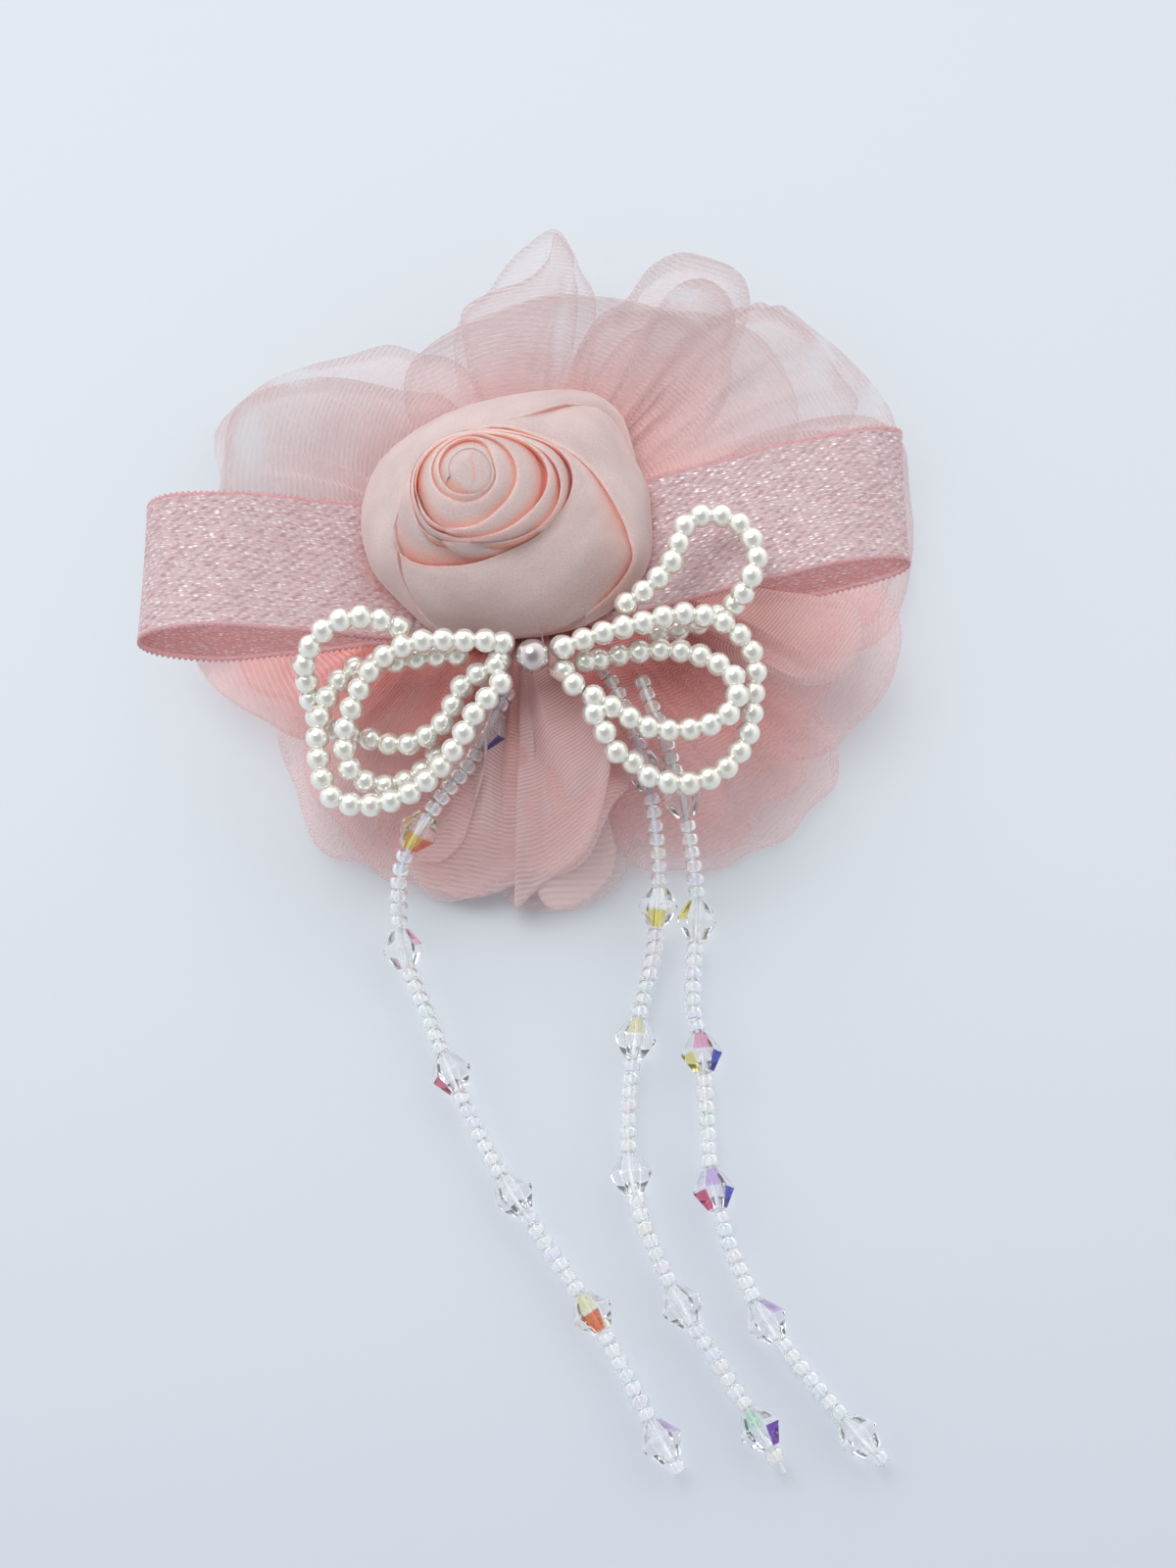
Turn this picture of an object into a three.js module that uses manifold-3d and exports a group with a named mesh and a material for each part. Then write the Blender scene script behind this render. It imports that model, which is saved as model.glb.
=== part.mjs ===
// A flower hair clip: a sprung duckbill clip under a felt disc that carries organza petals,
// a ribbon bow, a rolled satin rose, six loops of pearls and three dangling bead strands.
// Millimetres, +Z up. The clip lies on its lever, jaws closed, with the flower facing up.

import * as THREE from 'three';
import { mergeVertices } from 'three/addons/utils/BufferGeometryUtils.js';
import Module from 'manifold-3d';

const wasm = await Module();
wasm.setup();

// Air between pieces that rest on each other
const SEAT_GAP = 0.3;

// Clip: sheet steel, hinged on a pin behind the felt
const HUB = new THREE.Vector2(-2, -4); // centre of the felt, seen from above
const SHEET = 0.8;
const ARM_WIDTH = 9;
const TIP_WIDTH = 6;
const JAW_REACH = 38; // hinge to the gripping tip
const LEVER_REACH = 17; // hinge to the finger end
const HINGE_SETBACK = 11; // hinge behind the middle of the felt
const LEVER_SPREAD = 9.1; // from the lever's pad up to the arm
const PAD_LENGTH = 6;
const HINGE_DROP = 3.5; // pin axis below the arm
const HAIR_GAP = 5.6; // between the arm and the jaw's belly
const EAR_RADIUS = 2.5;
const PIN_RADIUS = 0.8;
const PIN_HEAD_RADIUS = 1.3;
const PIN_HEAD_LENGTH = 0.6;
const TOOTH_COUNT = 4;
const TOOTH_PITCH = 2.2;
const TOOTH_HEIGHT = 1.0;
const ROUND_SIDES = 24;
const JAW_STEPS = 44;
const JAW_BELLY_START = 0.25; // shares of the jaw's reach, from the hinge
const JAW_BELLY_END = 0.58;
const JAW_RISE_START = 0.72;
const JAW_RISE_END = 0.87;
const JAW_RISE = 0.6; // height won where the rise starts
const JAW_RISE_LEFT = 0.52; // share of the hair gap left where the rise ends

// Torsion spring on the pin
const WIRE = 0.6;
const COIL_TURNS = 3.5;
const COIL_PITCH = 1.1;
const STEPS_PER_TURN = 8;
const WIRE_SIDES = 5;
const LEG_REACH = 8.5;

// Felt disc and the organza petals gathered on it
const FELT_RADIUS = 18;
const FELT_THICKNESS = 2;
const PETAL_THICKNESS = 1;
const GATHER_RADIUS = 6;
const GATHER_BULK = 0.8; // sewn gathers between the petals and the bow
const FOLD_HEIGHT = 0.7;
const SWELL_LATENESS = 1.5; // how far out a petal puffs up, 1 is its middle
const PETAL_STATIONS = 13;
const PETAL_STEPS = 5;

// Ribbon bow: one ring of ribbon, pinched in the middle into two loops
const RIBBON_WIDTH = 22;
const RIBBON_THICKNESS = 0.6;
const BOW_PINCH = 0.4; // air between the two layers at the pinch
const BOW_FLAT = 14.5; // flat stretch each way from the pinch, under the rose
const BOW_CENTRE = new THREE.Vector2(-4, -8.5);
const BOW_STATIONS = 20;
const LEFT_LOOP = { reach: 40, swell: 9.2, lift: 2.8, slope: 0.04 };
const RIGHT_LOOP = { reach: 45, swell: 7.2, lift: 2.8, slope: 0.18 };

// Satin rose: a folded strip wound from the bud outwards
const ROSE_TURNS = 4.6;
const ROSE_WALL = 0.9;
const ROSE_HEIGHT = 17; // bud above the rose's seat
const ROSE_RIM_DROP = 10; // outer rim below the bud
const BUD_RADIUS = 2.2;
const ROSE_RADIUS = 24;
const ROSE_FLARE = 8.5; // outer wrap leans out by this much
const ROSE_SQUASH = 0.86; // depth over width of the outer wrap
const ROSE_CENTRE = new THREE.Vector2(-3.3, -3.6);
const BUD_CENTRE = new THREE.Vector2(-8.4, -2.2);
const ROSE_END_ANGLE = 50; // where the strip ends, after winding clockwise from the bud
const ROSE_STEPS_PER_TURN = 20;
const ROSE_LIP = 0.94; // share of the wall's height where its rim starts to round over
const ROSE_SPREAD = 1.1; // how evenly the wraps spread, 1 is even
const ROSE_CURVE = 1.6; // how late the wall leans out
const ROSE_DOME = 1.4; // how late the rim falls from the bud

// Beads
const PEARL = 3;
const PEARL_PITCH = 3.06;
const PEARL_SHOULDER = 0.4; // where a pearl's wide band ends, as a share of its radius
const CENTRE_PEARL = 5;
const CENTRE_PEARL_PLACE = [-0.4, -25.3, 11];
const SEED_DIAMETER = 2.8;
const SEED_LENGTH = 2;
const SEED_SHOULDER = 0.2; // share of a seed bead's length that is rounded at each end
const CRYSTAL_DIAMETER = 6;
const CRYSTAL_LENGTH = 5.7;
const CRYSTAL_END_DIAMETER = 2.8;
const CRYSTAL_BORE = 1.9;
const THREAD = 0.7;
const BEAD_SIDES = 6;
const SEED_SIDES = 5;

// Heights worked out from the sizes above
const armUnderside = SHEET + LEVER_SPREAD;
const hingeX = HUB.x + HINGE_SETBACK;
const hingeZ = armUnderside - HINGE_DROP;
const pinHole = PIN_RADIUS + SEAT_GAP;
const feltBottom = armUnderside + SHEET + SEAT_GAP;
const feltTop = feltBottom + FELT_THICKNESS;
const lowerTier = SEAT_GAP + PETAL_THICKNESS / 2;
const upperTier = lowerTier + PETAL_THICKNESS + SEAT_GAP;
const bowLower = upperTier + PETAL_THICKNESS / 2 + GATHER_BULK + RIBBON_THICKNESS / 2;
const bowSpread = (RIBBON_THICKNESS + BOW_PINCH) / 2;
const bowMiddle = bowLower + bowSpread;
const roseSeat = bowMiddle + bowSpread + RIBBON_THICKNESS / 2 + SEAT_GAP;

// Organza petals: rim points are x, y and height above the felt, from one side to the other.
// A petal lies flat on the felt. Droop is how late it falls from there to its rim, and swell is how
// far its middle puffs up.
const PETALS = [
  { name: 'petal_top_left', tier: lowerTier, droop: 1.8, swell: 2.8, folds: 3,
    rim: [[-50.5, 12.5, -9], [-50.5, 23, -11.5], [-45.5, 31, -12.5], [-39.5, 34.5, -12],
      [-32.5, 36.5, -10], [-24.5, 35.5, -7], [-18.5, 32, -4]] },
  { name: 'petal_top_tip', tier: lowerTier, droop: 1.2, swell: 1.5, folds: 1,
    rim: [[-12, 38, -2], [-8.5, 42.5, -3], [-4, 51.5, -5], [2.5, 57.5, -6], [5.5, 53, -5.5], [7, 48, -4.5]] },
  { name: 'petal_top_right', tier: lowerTier, droop: 1.5, swell: 3, folds: 2,
    rim: [[13.5, 41.5, -4], [18.5, 50.5, -6], [23, 54, -8], [27.5, 52.5, -8], [32, 49, -8]] },
  { name: 'petal_right_top', tier: lowerTier, droop: 1.8, swell: 3, folds: 3,
    rim: [[36, 43, -8], [39, 44.5, -10], [44, 41, -11.5], [49, 36, -12.5], [55.5, 29.5, -12.5], [57, 24, -10]] },
  { name: 'petal_right', tier: lowerTier, droop: 1.7, swell: 1, folds: 1,
    rim: [[57.5, 19, -9], [59, 12, -11], [59, 4.5, -12], [57.5, -6, -10]] },
  { name: 'petal_right_low', tier: lowerTier, droop: 1.7, swell: 1, folds: 2,
    rim: [[55.5, -10.5, -8], [54.5, -17.5, -8], [52.5, -23.5, -9], [48, -28, -10]] },
  { name: 'petal_low_right', tier: lowerTier, droop: 2.2, swell: 0.2, folds: 3,
    rim: [[45.5, -31.5, -10], [44.5, -36, -12.5], [42, -40.5, -12.5], [37.5, -46, -12.5],
      [31.5, -48.5, -12.5], [24.5, -50, -12], [17, -51, -11]] },
  { name: 'petal_bottom_tip', tier: lowerTier, droop: 1.4, swell: 1, folds: 1,
    rim: [[12.5, -51.5, -11.5], [9, -55, -12.5], [5, -57.5, -12.5], [-2.5, -57, -12.5], [-6, -53, -12]] },
  { name: 'petal_bottom_front', tier: upperTier, droop: 2.6, swell: 0, folds: 2,
    rim: [[11.5, -44, 1.5], [7.5, -51, -3], [2, -53.5, -6], [-4, -54.5, -8], [-10.5, -56.5, -9.5],
      [-15.5, -56, -9.5], [-18.5, -53, -8]] },
  { name: 'petal_low_left', tier: lowerTier, droop: 2.2, swell: 0.3, folds: 3,
    rim: [[-21.5, -53, -11], [-26, -50, -12.5], [-30.5, -48, -12.5], [-35.5, -41, -12.5],
      [-38.5, -34, -12], [-40, -29.5, -10]] },
  { name: 'petal_left', tier: lowerTier, droop: 1.5, swell: 0.6, folds: 1,
    rim: [[-42, -27, -9], [-46.5, -23, -10], [-50.5, -19.5, -11], [-53, -16.5, -9]] },
  { name: 'petal_top_front', tier: upperTier, droop: 1.8, swell: 0.5, folds: 2,
    rim: [[27, 30.5, 7], [21, 32, 12], [13.5, 32.5, 14.5], [7.5, 32.5, 15], [2, 32.5, 15],
      [-5.5, 30.5, 14], [-11.5, 29, 11], [-17, 27, 6]] },
];

// Pearl loops: the wire's route as x, y and height above the felt
const PEARL_LOOPS = [
  { name: 'pearl_loop_left_upper',
    route: [[-18.5, -21, 10], [-24.5, -20, 13], [-29.5, -21, 13], [-33.5, -24.5, 10], [-33.5, -28, 5],
      [-32, -31.5, 1], [-24.5, -34.5, 1.5], [-19, -36, 3], [-13.5, -33.5, 5.5], [-10.5, -28.5, 8], [-4.3, -25.8, 10.6]] },
  { name: 'pearl_loop_left_middle',
    route: [[-5.5, -23.5, 12.5], [-10.5, -23.5, 12.5], [-17, -23.5, 12], [-23, -26, 10.5], [-26.5, -31, 7.5],
      [-28, -36, 5], [-27, -40, 2.5], [-23, -41.5, 0.5], [-18, -40, 0], [-13.5, -35.5, 1]] },
  { name: 'pearl_loop_left_lower',
    route: [[-8.5, -24, 8.5], [-14.5, -24, 8], [-20.5, -24.5, 7], [-27, -25.5, 6.5], [-31, -30.5, 5.5],
      [-32, -36.5, 3.5], [-30, -43.5, 1.5], [-25, -45, 1.5], [-19, -44, 3], [-14, -40.7, 5.5],
      [-10.5, -36.7, 8.5], [-7.5, -31.4, 10.4]] },
  { name: 'pearl_loop_right_upper',
    route: [[11, -18.5, 11], [15.5, -16, 12.5], [20, -11.5, 14], [22.5, -5, 14], [26, -4, 14], [29.5, -5, 14],
      [32.5, -10, 14], [31, -15, 13.5], [28.7, -16.7, 9], [24, -18.3, 7], [15.5, -20.5, 6.5]] },
  { name: 'pearl_loop_right_outer',
    route: [[1.7, -25, 11.2], [10, -22, 12], [15.5, -20.5, 12], [22, -19, 12], [28, -20, 10.5], [32, -24, 8],
      [32, -29.5, 6], [31, -35.5, 5], [27.5, -40.5, 4.3], [23, -42.5, 4.3], [17, -41.7, 4.3], [12.5, -37.5, 4.8]] },
  { name: 'pearl_loop_right_inner',
    route: [[7, -25, 7.5], [13, -23.5, 7.5], [19.5, -23, 8], [25.5, -25, 9], [29.5, -29, 9.5], [28, -33.5, 8.5],
      [23.5, -35, 7], [17, -35, 7], [11.5, -32.5, 8.5], [6.5, -30, 10]] },
];

// Bead strands: the thread's route as x, y and height above the table, and the number of
// seed beads before each crystal and after the last one
const STRANDS = [
  { name: 'left', seeds: [2, 6, 6, 7, 7, 7, 7, 1],
    route: [[-3.9, -28, 18.5], [-6.3, -32.8, 18.4], [-9.3, -38.4, 16], [-13, -42.9, 14.9], [-16.7, -47.5, 12.9],
      [-19.6, -52.5, 10], [-20.2, -58.5, 6.2], [-19.3, -65, 3.3], [-15.9, -73.4, 3], [-12, -82.9, 3],
      [-7.9, -91.8, 3], [-2.8, -100.7, 3], [3.2, -109.7, 3], [8.5, -117.6, 3], [13.2, -126.3, 3],
      [17.9, -135.1, 3], [20.5, -139.5, 3]] },
  { name: 'middle', seeds: [7, 7, 7, 7, 7, 7, 1],
    route: [[9.4, -24.2, 17.5], [11.6, -27.1, 17], [13.8, -32, 15.6], [15.5, -36.2, 14.1], [16.6, -41, 12.6],
      [17.7, -47.5, 10], [18.2, -53.5, 7], [17.9, -59.5, 4.2], [17, -66, 3], [15.2, -73.3, 3], [14.4, -79.4, 3],
      [13.5, -89.7, 3], [14.3, -99.7, 3], [17.7, -109.7, 3], [21.9, -118, 3], [27.2, -126.3, 3],
      [32.4, -134.9, 3], [35, -139.5, 3]] },
  { name: 'right', seeds: [8, 6, 7, 7, 7, 7, 1],
    route: [[15.5, -25.5, 17], [16.5, -28.5, 16.5], [18.7, -33.5, 15], [20.8, -39.8, 12.8], [21.8, -43.5, 11.2],
      [22.8, -49, 9], [23.6, -54.5, 6.5], [23.8, -60, 4.2], [23.2, -67, 3], [23.2, -73.4, 3],
      [24.2, -78.6, 3], [24.9, -88.9, 3], [25.6, -98.9, 3], [28.3, -108.9, 3], [32.6, -118, 3],
      [38.6, -126.3, 3], [45.2, -134.2, 3], [49, -138.5, 3]] },
];

// Materials
const FINISHES = {
  steel: { color: 0xb9bcc0, roughness: 0.3, metalness: 1 },
  spring: { color: 0x8d9095, roughness: 0.35, metalness: 1 },
  felt: { color: 0xefe3df, roughness: 1, metalness: 0 },
  organza: { color: 0xe9b9b9, roughness: 0.7, metalness: 0 },
  ribbon: { color: 0xcf9fa3, roughness: 0.45, metalness: 0.2 },
  satin: { color: 0xf1cbc3, roughness: 0.55, metalness: 0 },
  pearl: { color: 0xf2ece0, roughness: 0.2, metalness: 0 },
  seed: { color: 0xe6eaf0, roughness: 0.1, metalness: 0 },
  crystal: { color: 0xf0f4f8, roughness: 0.03, metalness: 0 },
};

function piece(name, geometry, finish) {
  const mesh = new THREE.Mesh(geometry, new THREE.MeshStandardMaterial(FINISHES[finish]));
  mesh.name = name;
  return mesh;
}

// Solids

function signedVolume(positions, index) {
  const [a, b, c] = [new THREE.Vector3(), new THREE.Vector3(), new THREE.Vector3()];
  let volume = 0;
  for (let i = 0; i < index.length; i += 3) {
    a.fromArray(positions, index[i] * 3);
    b.fromArray(positions, index[i + 1] * 3);
    c.fromArray(positions, index[i + 2] * 3);
    volume += a.dot(b.cross(c)) / 6;
  }
  return volume;
}

function indexedGeometry(positions, index) {
  const geometry = new THREE.BufferGeometry();
  geometry.setAttribute('position', new THREE.Float32BufferAttribute(positions, 3));
  geometry.setIndex(index);
  geometry.computeVertexNormals();
  return geometry;
}

// Triangles over a ring of points, laid like rungs between its two sides
function ladderTriangles(size) {
  const triangles = [];
  for (let low = 0, high = size - 1; low + 1 < high; low++, high--) {
    triangles.push([low, low + 1, high]);
    if (low + 1 < high - 1) triangles.push([low + 1, high - 1, high]);
  }
  return triangles;
}

// One closed body through a row of rings, each with the same number of points.
// A looped row joins its last ring to its first, any other is capped by a ladder of triangles.
function loftedBody(rings, looped = false) {
  const size = rings[0].length;
  const positions = rings.flat().flatMap((point) => point.toArray());
  const index = [];
  const spans = looped ? rings.length : rings.length - 1;
  for (let i = 0; i < spans; i++) {
    const here = i * size;
    const next = ((i + 1) % rings.length) * size;
    for (let j = 0; j < size; j++) {
      const k = (j + 1) % size;
      index.push(here + j, here + k, next + k, here + j, next + k, next + j);
    }
  }
  if (!looped) {
    const last = (rings.length - 1) * size;
    for (const [a, b, c] of ladderTriangles(size)) {
      index.push(a, c, b, last + a, last + b, last + c);
    }
  }
  if (signedVolume(positions, index) < 0) index.reverse();
  return indexedGeometry(positions, index);
}

function circleSection(sides) {
  return Array.from({ length: sides }, (_, j) => {
    const angle = (j / sides) * 2 * Math.PI;
    return new THREE.Vector2(Math.cos(angle), Math.sin(angle));
  });
}

// A round tube through points, with a radius at each point
function tubeBody(points, radii, sides) {
  const section = circleSection(sides);
  const side = new THREE.Vector3();
  const rings = points.map((point, i) => {
    const before = points[Math.max(i - 1, 0)];
    const after = points[Math.min(i + 1, points.length - 1)];
    const along = after.clone().sub(before).normalize();
    if (i === 0) side.set(0, 0, 1);
    side.addScaledVector(along, -side.dot(along)).normalize();
    const across = along.clone().cross(side);
    return section.map((corner) => point.clone()
      .addScaledVector(side, corner.x * radii[i])
      .addScaledVector(across, corner.y * radii[i]));
  });
  return loftedBody(rings);
}

function toSolid(geometry) {
  const bare = geometry.clone();
  for (const name of ['normal', 'uv']) bare.deleteAttribute(name);
  const merged = mergeVertices(bare, 1e-4);
  return new wasm.Manifold(new wasm.Mesh({
    numProp: 3,
    vertProperties: new Float32Array(merged.attributes.position.array),
    triVerts: new Uint32Array(merged.index.array),
  }));
}

function fromSolid(solid) {
  const mesh = solid.getMesh();
  return indexedGeometry(Array.from(mesh.vertProperties), Array.from(mesh.triVerts));
}

// A prism of a side-view outline (x, z), centred across the clip at y
function sidePrism(shape, width, y) {
  const geometry = new THREE.ExtrudeGeometry(shape, { depth: width, bevelEnabled: false, curveSegments: 12 });
  return geometry.rotateX(Math.PI / 2).translate(0, y + width / 2, 0);
}

// A prism of a top-view outline (x, y), from a height upwards
function planPrism(shape, height, z) {
  const geometry = new THREE.ExtrudeGeometry(shape, { depth: height, bevelEnabled: false, curveSegments: 8 });
  return geometry.translate(0, 0, z);
}

// A round bar across the clip through the hinge
function hingeBar(radius, length) {
  return new THREE.CylinderGeometry(radius, radius, length, ROUND_SIDES).translate(hingeX, HUB.y, hingeZ);
}

function polygon(points) {
  return new THREE.Shape(points.map(([x, y]) => new THREE.Vector2(x, y)));
}

// Clip

// An ear seen from the side: round below or above the pin, straight up to the plate it grows from
function earOutline(radius, plateZ) {
  const upwards = plateZ > hingeZ;
  const shape = new THREE.Shape();
  shape.moveTo(hingeX + radius, plateZ);
  shape.lineTo(hingeX + radius, hingeZ);
  shape.absarc(hingeX, hingeZ, radius, 0, Math.PI, upwards);
  shape.lineTo(hingeX - radius, plateZ);
  return shape;
}

function withEars(plate, outline, middleY) {
  let solid = toSolid(plate);
  for (const sign of [-1, 1]) {
    solid = solid.add(toSolid(sidePrism(outline, SHEET, HUB.y + sign * middleY)));
  }
  return fromSolid(solid.subtract(toSolid(hingeBar(pinHole, 2 * ARM_WIDTH))));
}

// Half the width of a plate along the clip, as corner points mirrored about its middle line
function mirroredOutline(corners) {
  const upper = corners.map(([x, half]) => [x, HUB.y + half]);
  const lower = corners.map(([x, half]) => [x, HUB.y - half]).reverse();
  return polygon([...upper, ...lower]);
}

function clipArm() {
  const tip = hingeX - JAW_REACH;
  const end = hingeX + LEVER_REACH;
  const half = ARM_WIDTH / 2;
  const tipHalf = TIP_WIDTH / 2;
  const outline = mirroredOutline([
    [tip, tipHalf * 0.5], [tip + 1, tipHalf * 0.85], [tip + 3, tipHalf], [hingeX - 2 * EAR_RADIUS, half],
    [end - 3, half], [end - 1, half * 0.85], [end, half * 0.5],
  ]);
  const plate = planPrism(outline, SHEET, armUnderside);
  return withEars(plate, earOutline(EAR_RADIUS, armUnderside + SHEET / 2), half - SHEET / 2);
}

const jawEarMiddle = ARM_WIDTH / 2 - SHEET - SEAT_GAP - SHEET / 2;
const coilRadius = PIN_RADIUS + SEAT_GAP + WIRE / 2 + 0.05;
const jawUnderHinge = hingeZ - coilRadius - WIRE / 2 - SEAT_GAP - SHEET / 2;
const jawBelly = armUnderside - HAIR_GAP - SHEET / 2;

// The jaw's bent centre line, seen from the side, from the tip to the finger pad
const jawLine = new THREE.SplineCurve([
  [hingeX - JAW_REACH, armUnderside - SEAT_GAP - SHEET * 0.75],
  [hingeX - JAW_REACH * JAW_RISE_END, armUnderside - HAIR_GAP * JAW_RISE_LEFT],
  [hingeX - JAW_REACH * JAW_RISE_START, jawBelly + JAW_RISE],
  [hingeX - JAW_REACH * JAW_BELLY_END, jawBelly],
  [hingeX - JAW_REACH * JAW_BELLY_START, jawBelly],
  [hingeX, jawUnderHinge],
  [hingeX + LEVER_REACH * 0.25, jawUnderHinge * 0.6],
  [hingeX + LEVER_REACH - PAD_LENGTH - 1, SHEET],
  [hingeX + LEVER_REACH - PAD_LENGTH, SHEET / 2],
  [hingeX + LEVER_REACH - PAD_LENGTH / 2, SHEET / 2],
  [hingeX + LEVER_REACH, SHEET / 2],
].map(([x, z]) => new THREE.Vector2(x, z)));

function jawLineHeight(x) {
  const points = jawLine.getPoints(200);
  return points.reduce((best, point) => (Math.abs(point.x - x) < Math.abs(best.x - x) ? point : best)).y;
}

function clipJaw() {
  const upper = [];
  const lower = [];
  for (let i = 0; i <= JAW_STEPS; i++) {
    const point = jawLine.getPoint(i / JAW_STEPS);
    const slope = jawLine.getTangent(i / JAW_STEPS);
    const flat = point.x > hingeX + LEVER_REACH - PAD_LENGTH;
    const normal = flat ? new THREE.Vector2(0, 1) : new THREE.Vector2(-slope.y, slope.x);
    const height = flat ? SHEET / 2 : point.y;
    const middle = new THREE.Vector2(point.x, height);
    upper.push(middle.clone().addScaledVector(normal, SHEET / 2));
    lower.push(middle.clone().addScaledVector(normal, -SHEET / 2));
  }
  const bent = toSolid(sidePrism(new THREE.Shape([...lower, ...upper.reverse()]), ARM_WIDTH + 2, HUB.y));
  const tip = hingeX - JAW_REACH - 1;
  const end = hingeX + LEVER_REACH;
  const half = ARM_WIDTH / 2;
  const waist = jawEarMiddle + SHEET / 2;
  const shoulder = EAR_RADIUS + SEAT_GAP;
  const outline = mirroredOutline([
    [tip, TIP_WIDTH / 2 * 0.6], [tip + 3, TIP_WIDTH / 2], [hingeX - 2 * shoulder, half - SHEET],
    [hingeX - shoulder, waist], [hingeX + shoulder, waist], [hingeX + shoulder + 1, half],
    [end - 2, half], [end + 1, half * 0.6],
  ]);
  let jaw = bent.intersect(toSolid(planPrism(outline, 4 * armUnderside, -2 * armUnderside)));
  for (let i = 1; i <= TOOTH_COUNT; i++) {
    const x = hingeX - JAW_REACH + i * TOOTH_PITCH;
    const foot = jawLineHeight(x);
    const top = Math.min(foot + SHEET / 2 + TOOTH_HEIGHT, armUnderside - SEAT_GAP);
    const tooth = polygon([[x - TOOTH_PITCH / 3, foot], [x + TOOTH_PITCH / 3, foot], [x, top]]);
    jaw = jaw.add(toSolid(sidePrism(tooth, TIP_WIDTH / 2, HUB.y)));
  }
  return withEars(fromSolid(jaw), earOutline(EAR_RADIUS - SEAT_GAP, jawUnderHinge), jawEarMiddle);
}

function hingePin() {
  const span = ARM_WIDTH + 2 * SEAT_GAP;
  let pin = toSolid(hingeBar(PIN_RADIUS, span + PIN_HEAD_LENGTH));
  for (const sign of [-1, 1]) {
    const head = new THREE.CylinderGeometry(PIN_HEAD_RADIUS, PIN_HEAD_RADIUS, PIN_HEAD_LENGTH, ROUND_SIDES);
    head.translate(hingeX, HUB.y + sign * (span + PIN_HEAD_LENGTH) / 2, hingeZ);
    pin = pin.add(toSolid(head));
  }
  return fromSolid(pin);
}

// The coil on the pin, with one leg under the arm and one on the lever
function torsionSpring() {
  const start = Math.PI / 2;
  const steps = COIL_TURNS * STEPS_PER_TURN;
  const points = [];
  const legX = hingeX + LEG_REACH;
  const coilStart = HUB.y - (COIL_TURNS * COIL_PITCH) / 2;
  const coilEnd = HUB.y + (COIL_TURNS * COIL_PITCH) / 2;
  const seat = SHEET / 2 + SEAT_GAP + WIRE / 2;
  points.push(new THREE.Vector3(legX, coilStart, armUnderside - SEAT_GAP - WIRE / 2));
  points.push(new THREE.Vector3(hingeX + coilRadius * 2, coilStart, hingeZ + coilRadius * 1.2));
  for (let i = 0; i <= steps; i++) {
    const angle = start + (i / STEPS_PER_TURN) * 2 * Math.PI;
    points.push(new THREE.Vector3(
      hingeX + coilRadius * Math.cos(angle),
      coilStart + (i / STEPS_PER_TURN) * COIL_PITCH,
      hingeZ + coilRadius * Math.sin(angle),
    ));
  }
  points.push(new THREE.Vector3(legX, coilEnd, jawLineHeight(legX) + seat * 1.1));
  printLeastGap('torsion spring', points, STEPS_PER_TURN / 2, WIRE);
  return tubeBody(points, points.map(() => WIRE / 2), WIRE_SIDES);
}

// Least air between stretches of a winding that are at least skip points apart
function printLeastGap(name, points, skip, thickness) {
  let least = Infinity;
  for (let i = 0; i < points.length; i++) {
    for (let j = i + skip + 1; j < points.length; j++) {
      least = Math.min(least, points[i].distanceTo(points[j]));
    }
  }
  console.log(`${name}: least gap to itself ${(least - thickness).toFixed(2)} mm`);
}

function feltBase() {
  return new THREE.CylinderGeometry(FELT_RADIUS, FELT_RADIUS, FELT_THICKNESS, 2 * ROUND_SIDES)
    .rotateX(Math.PI / 2)
    .translate(HUB.x, HUB.y, feltBottom + FELT_THICKNESS / 2);
}

// Flower

// A gathered petal: a sheet from the gathers at the hub to its rim, with folds that open outwards
function petal({ tier, droop, swell, folds, rim }) {
  const curve = new THREE.CatmullRomCurve3(rim.map(([x, y, z]) => new THREE.Vector3(x, y, z)));
  const bearing = ([x, y]) => Math.atan2(y - HUB.y, x - HUB.x);
  const first = bearing(rim[0]);
  let sweep = bearing(rim[rim.length - 1]) - first;
  if (sweep > Math.PI) sweep -= 2 * Math.PI;
  if (sweep < -Math.PI) sweep += 2 * Math.PI;
  const rings = [];
  for (let i = 0; i < PETAL_STATIONS; i++) {
    const across = i / (PETAL_STATIONS - 1);
    const edge = curve.getPointAt(across);
    const angle = first + sweep * across;
    const root = new THREE.Vector3(
      HUB.x + GATHER_RADIUS * Math.cos(angle),
      HUB.y + GATHER_RADIUS * Math.sin(angle),
      tier,
    );
    const seat = (FELT_RADIUS - GATHER_RADIUS) / Math.hypot(edge.x - root.x, edge.y - root.y);
    const top = [];
    const bottom = [];
    for (let j = 0; j <= PETAL_STEPS; j++) {
      const fall = Math.max((j - 1) / (PETAL_STEPS - 1), 0);
      const point = root.clone().lerp(edge, j === 0 ? 0 : seat + (1 - seat) * fall);
      const wave = Math.sin(across * folds * 2 * Math.PI);
      const puff = (swell + FOLD_HEIGHT * wave) * Math.sin(fall ** SWELL_LATENESS * Math.PI);
      const height = tier + (edge.z - tier) * fall ** droop + puff;
      point.z = Math.max(height, PETAL_THICKNESS / 2 - feltTop);
      top.push(point.clone().setZ(point.z + PETAL_THICKNESS / 2));
      bottom.push(point.clone().setZ(point.z - PETAL_THICKNESS / 2));
    }
    rings.push([...top, ...bottom.reverse()]);
  }
  return loftedBody(rings);
}

// A point of a bow loop, seen from the side: a teardrop from the flat middle to the far end and back
function bowPoint(loop, sign, turn) {
  const half = turn / 2;
  const out = Math.sin(half) ** 2;
  const swell = loop.swell * Math.sin(turn) * out;
  const z = bowMiddle + swell + loop.lift * out + bowSpread * Math.cos(half);
  const x = BOW_FLAT + loop.reach * out;
  return new THREE.Vector3(BOW_CENTRE.x + sign * x, BOW_CENTRE.y + sign * x * loop.slope, z);
}

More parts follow.
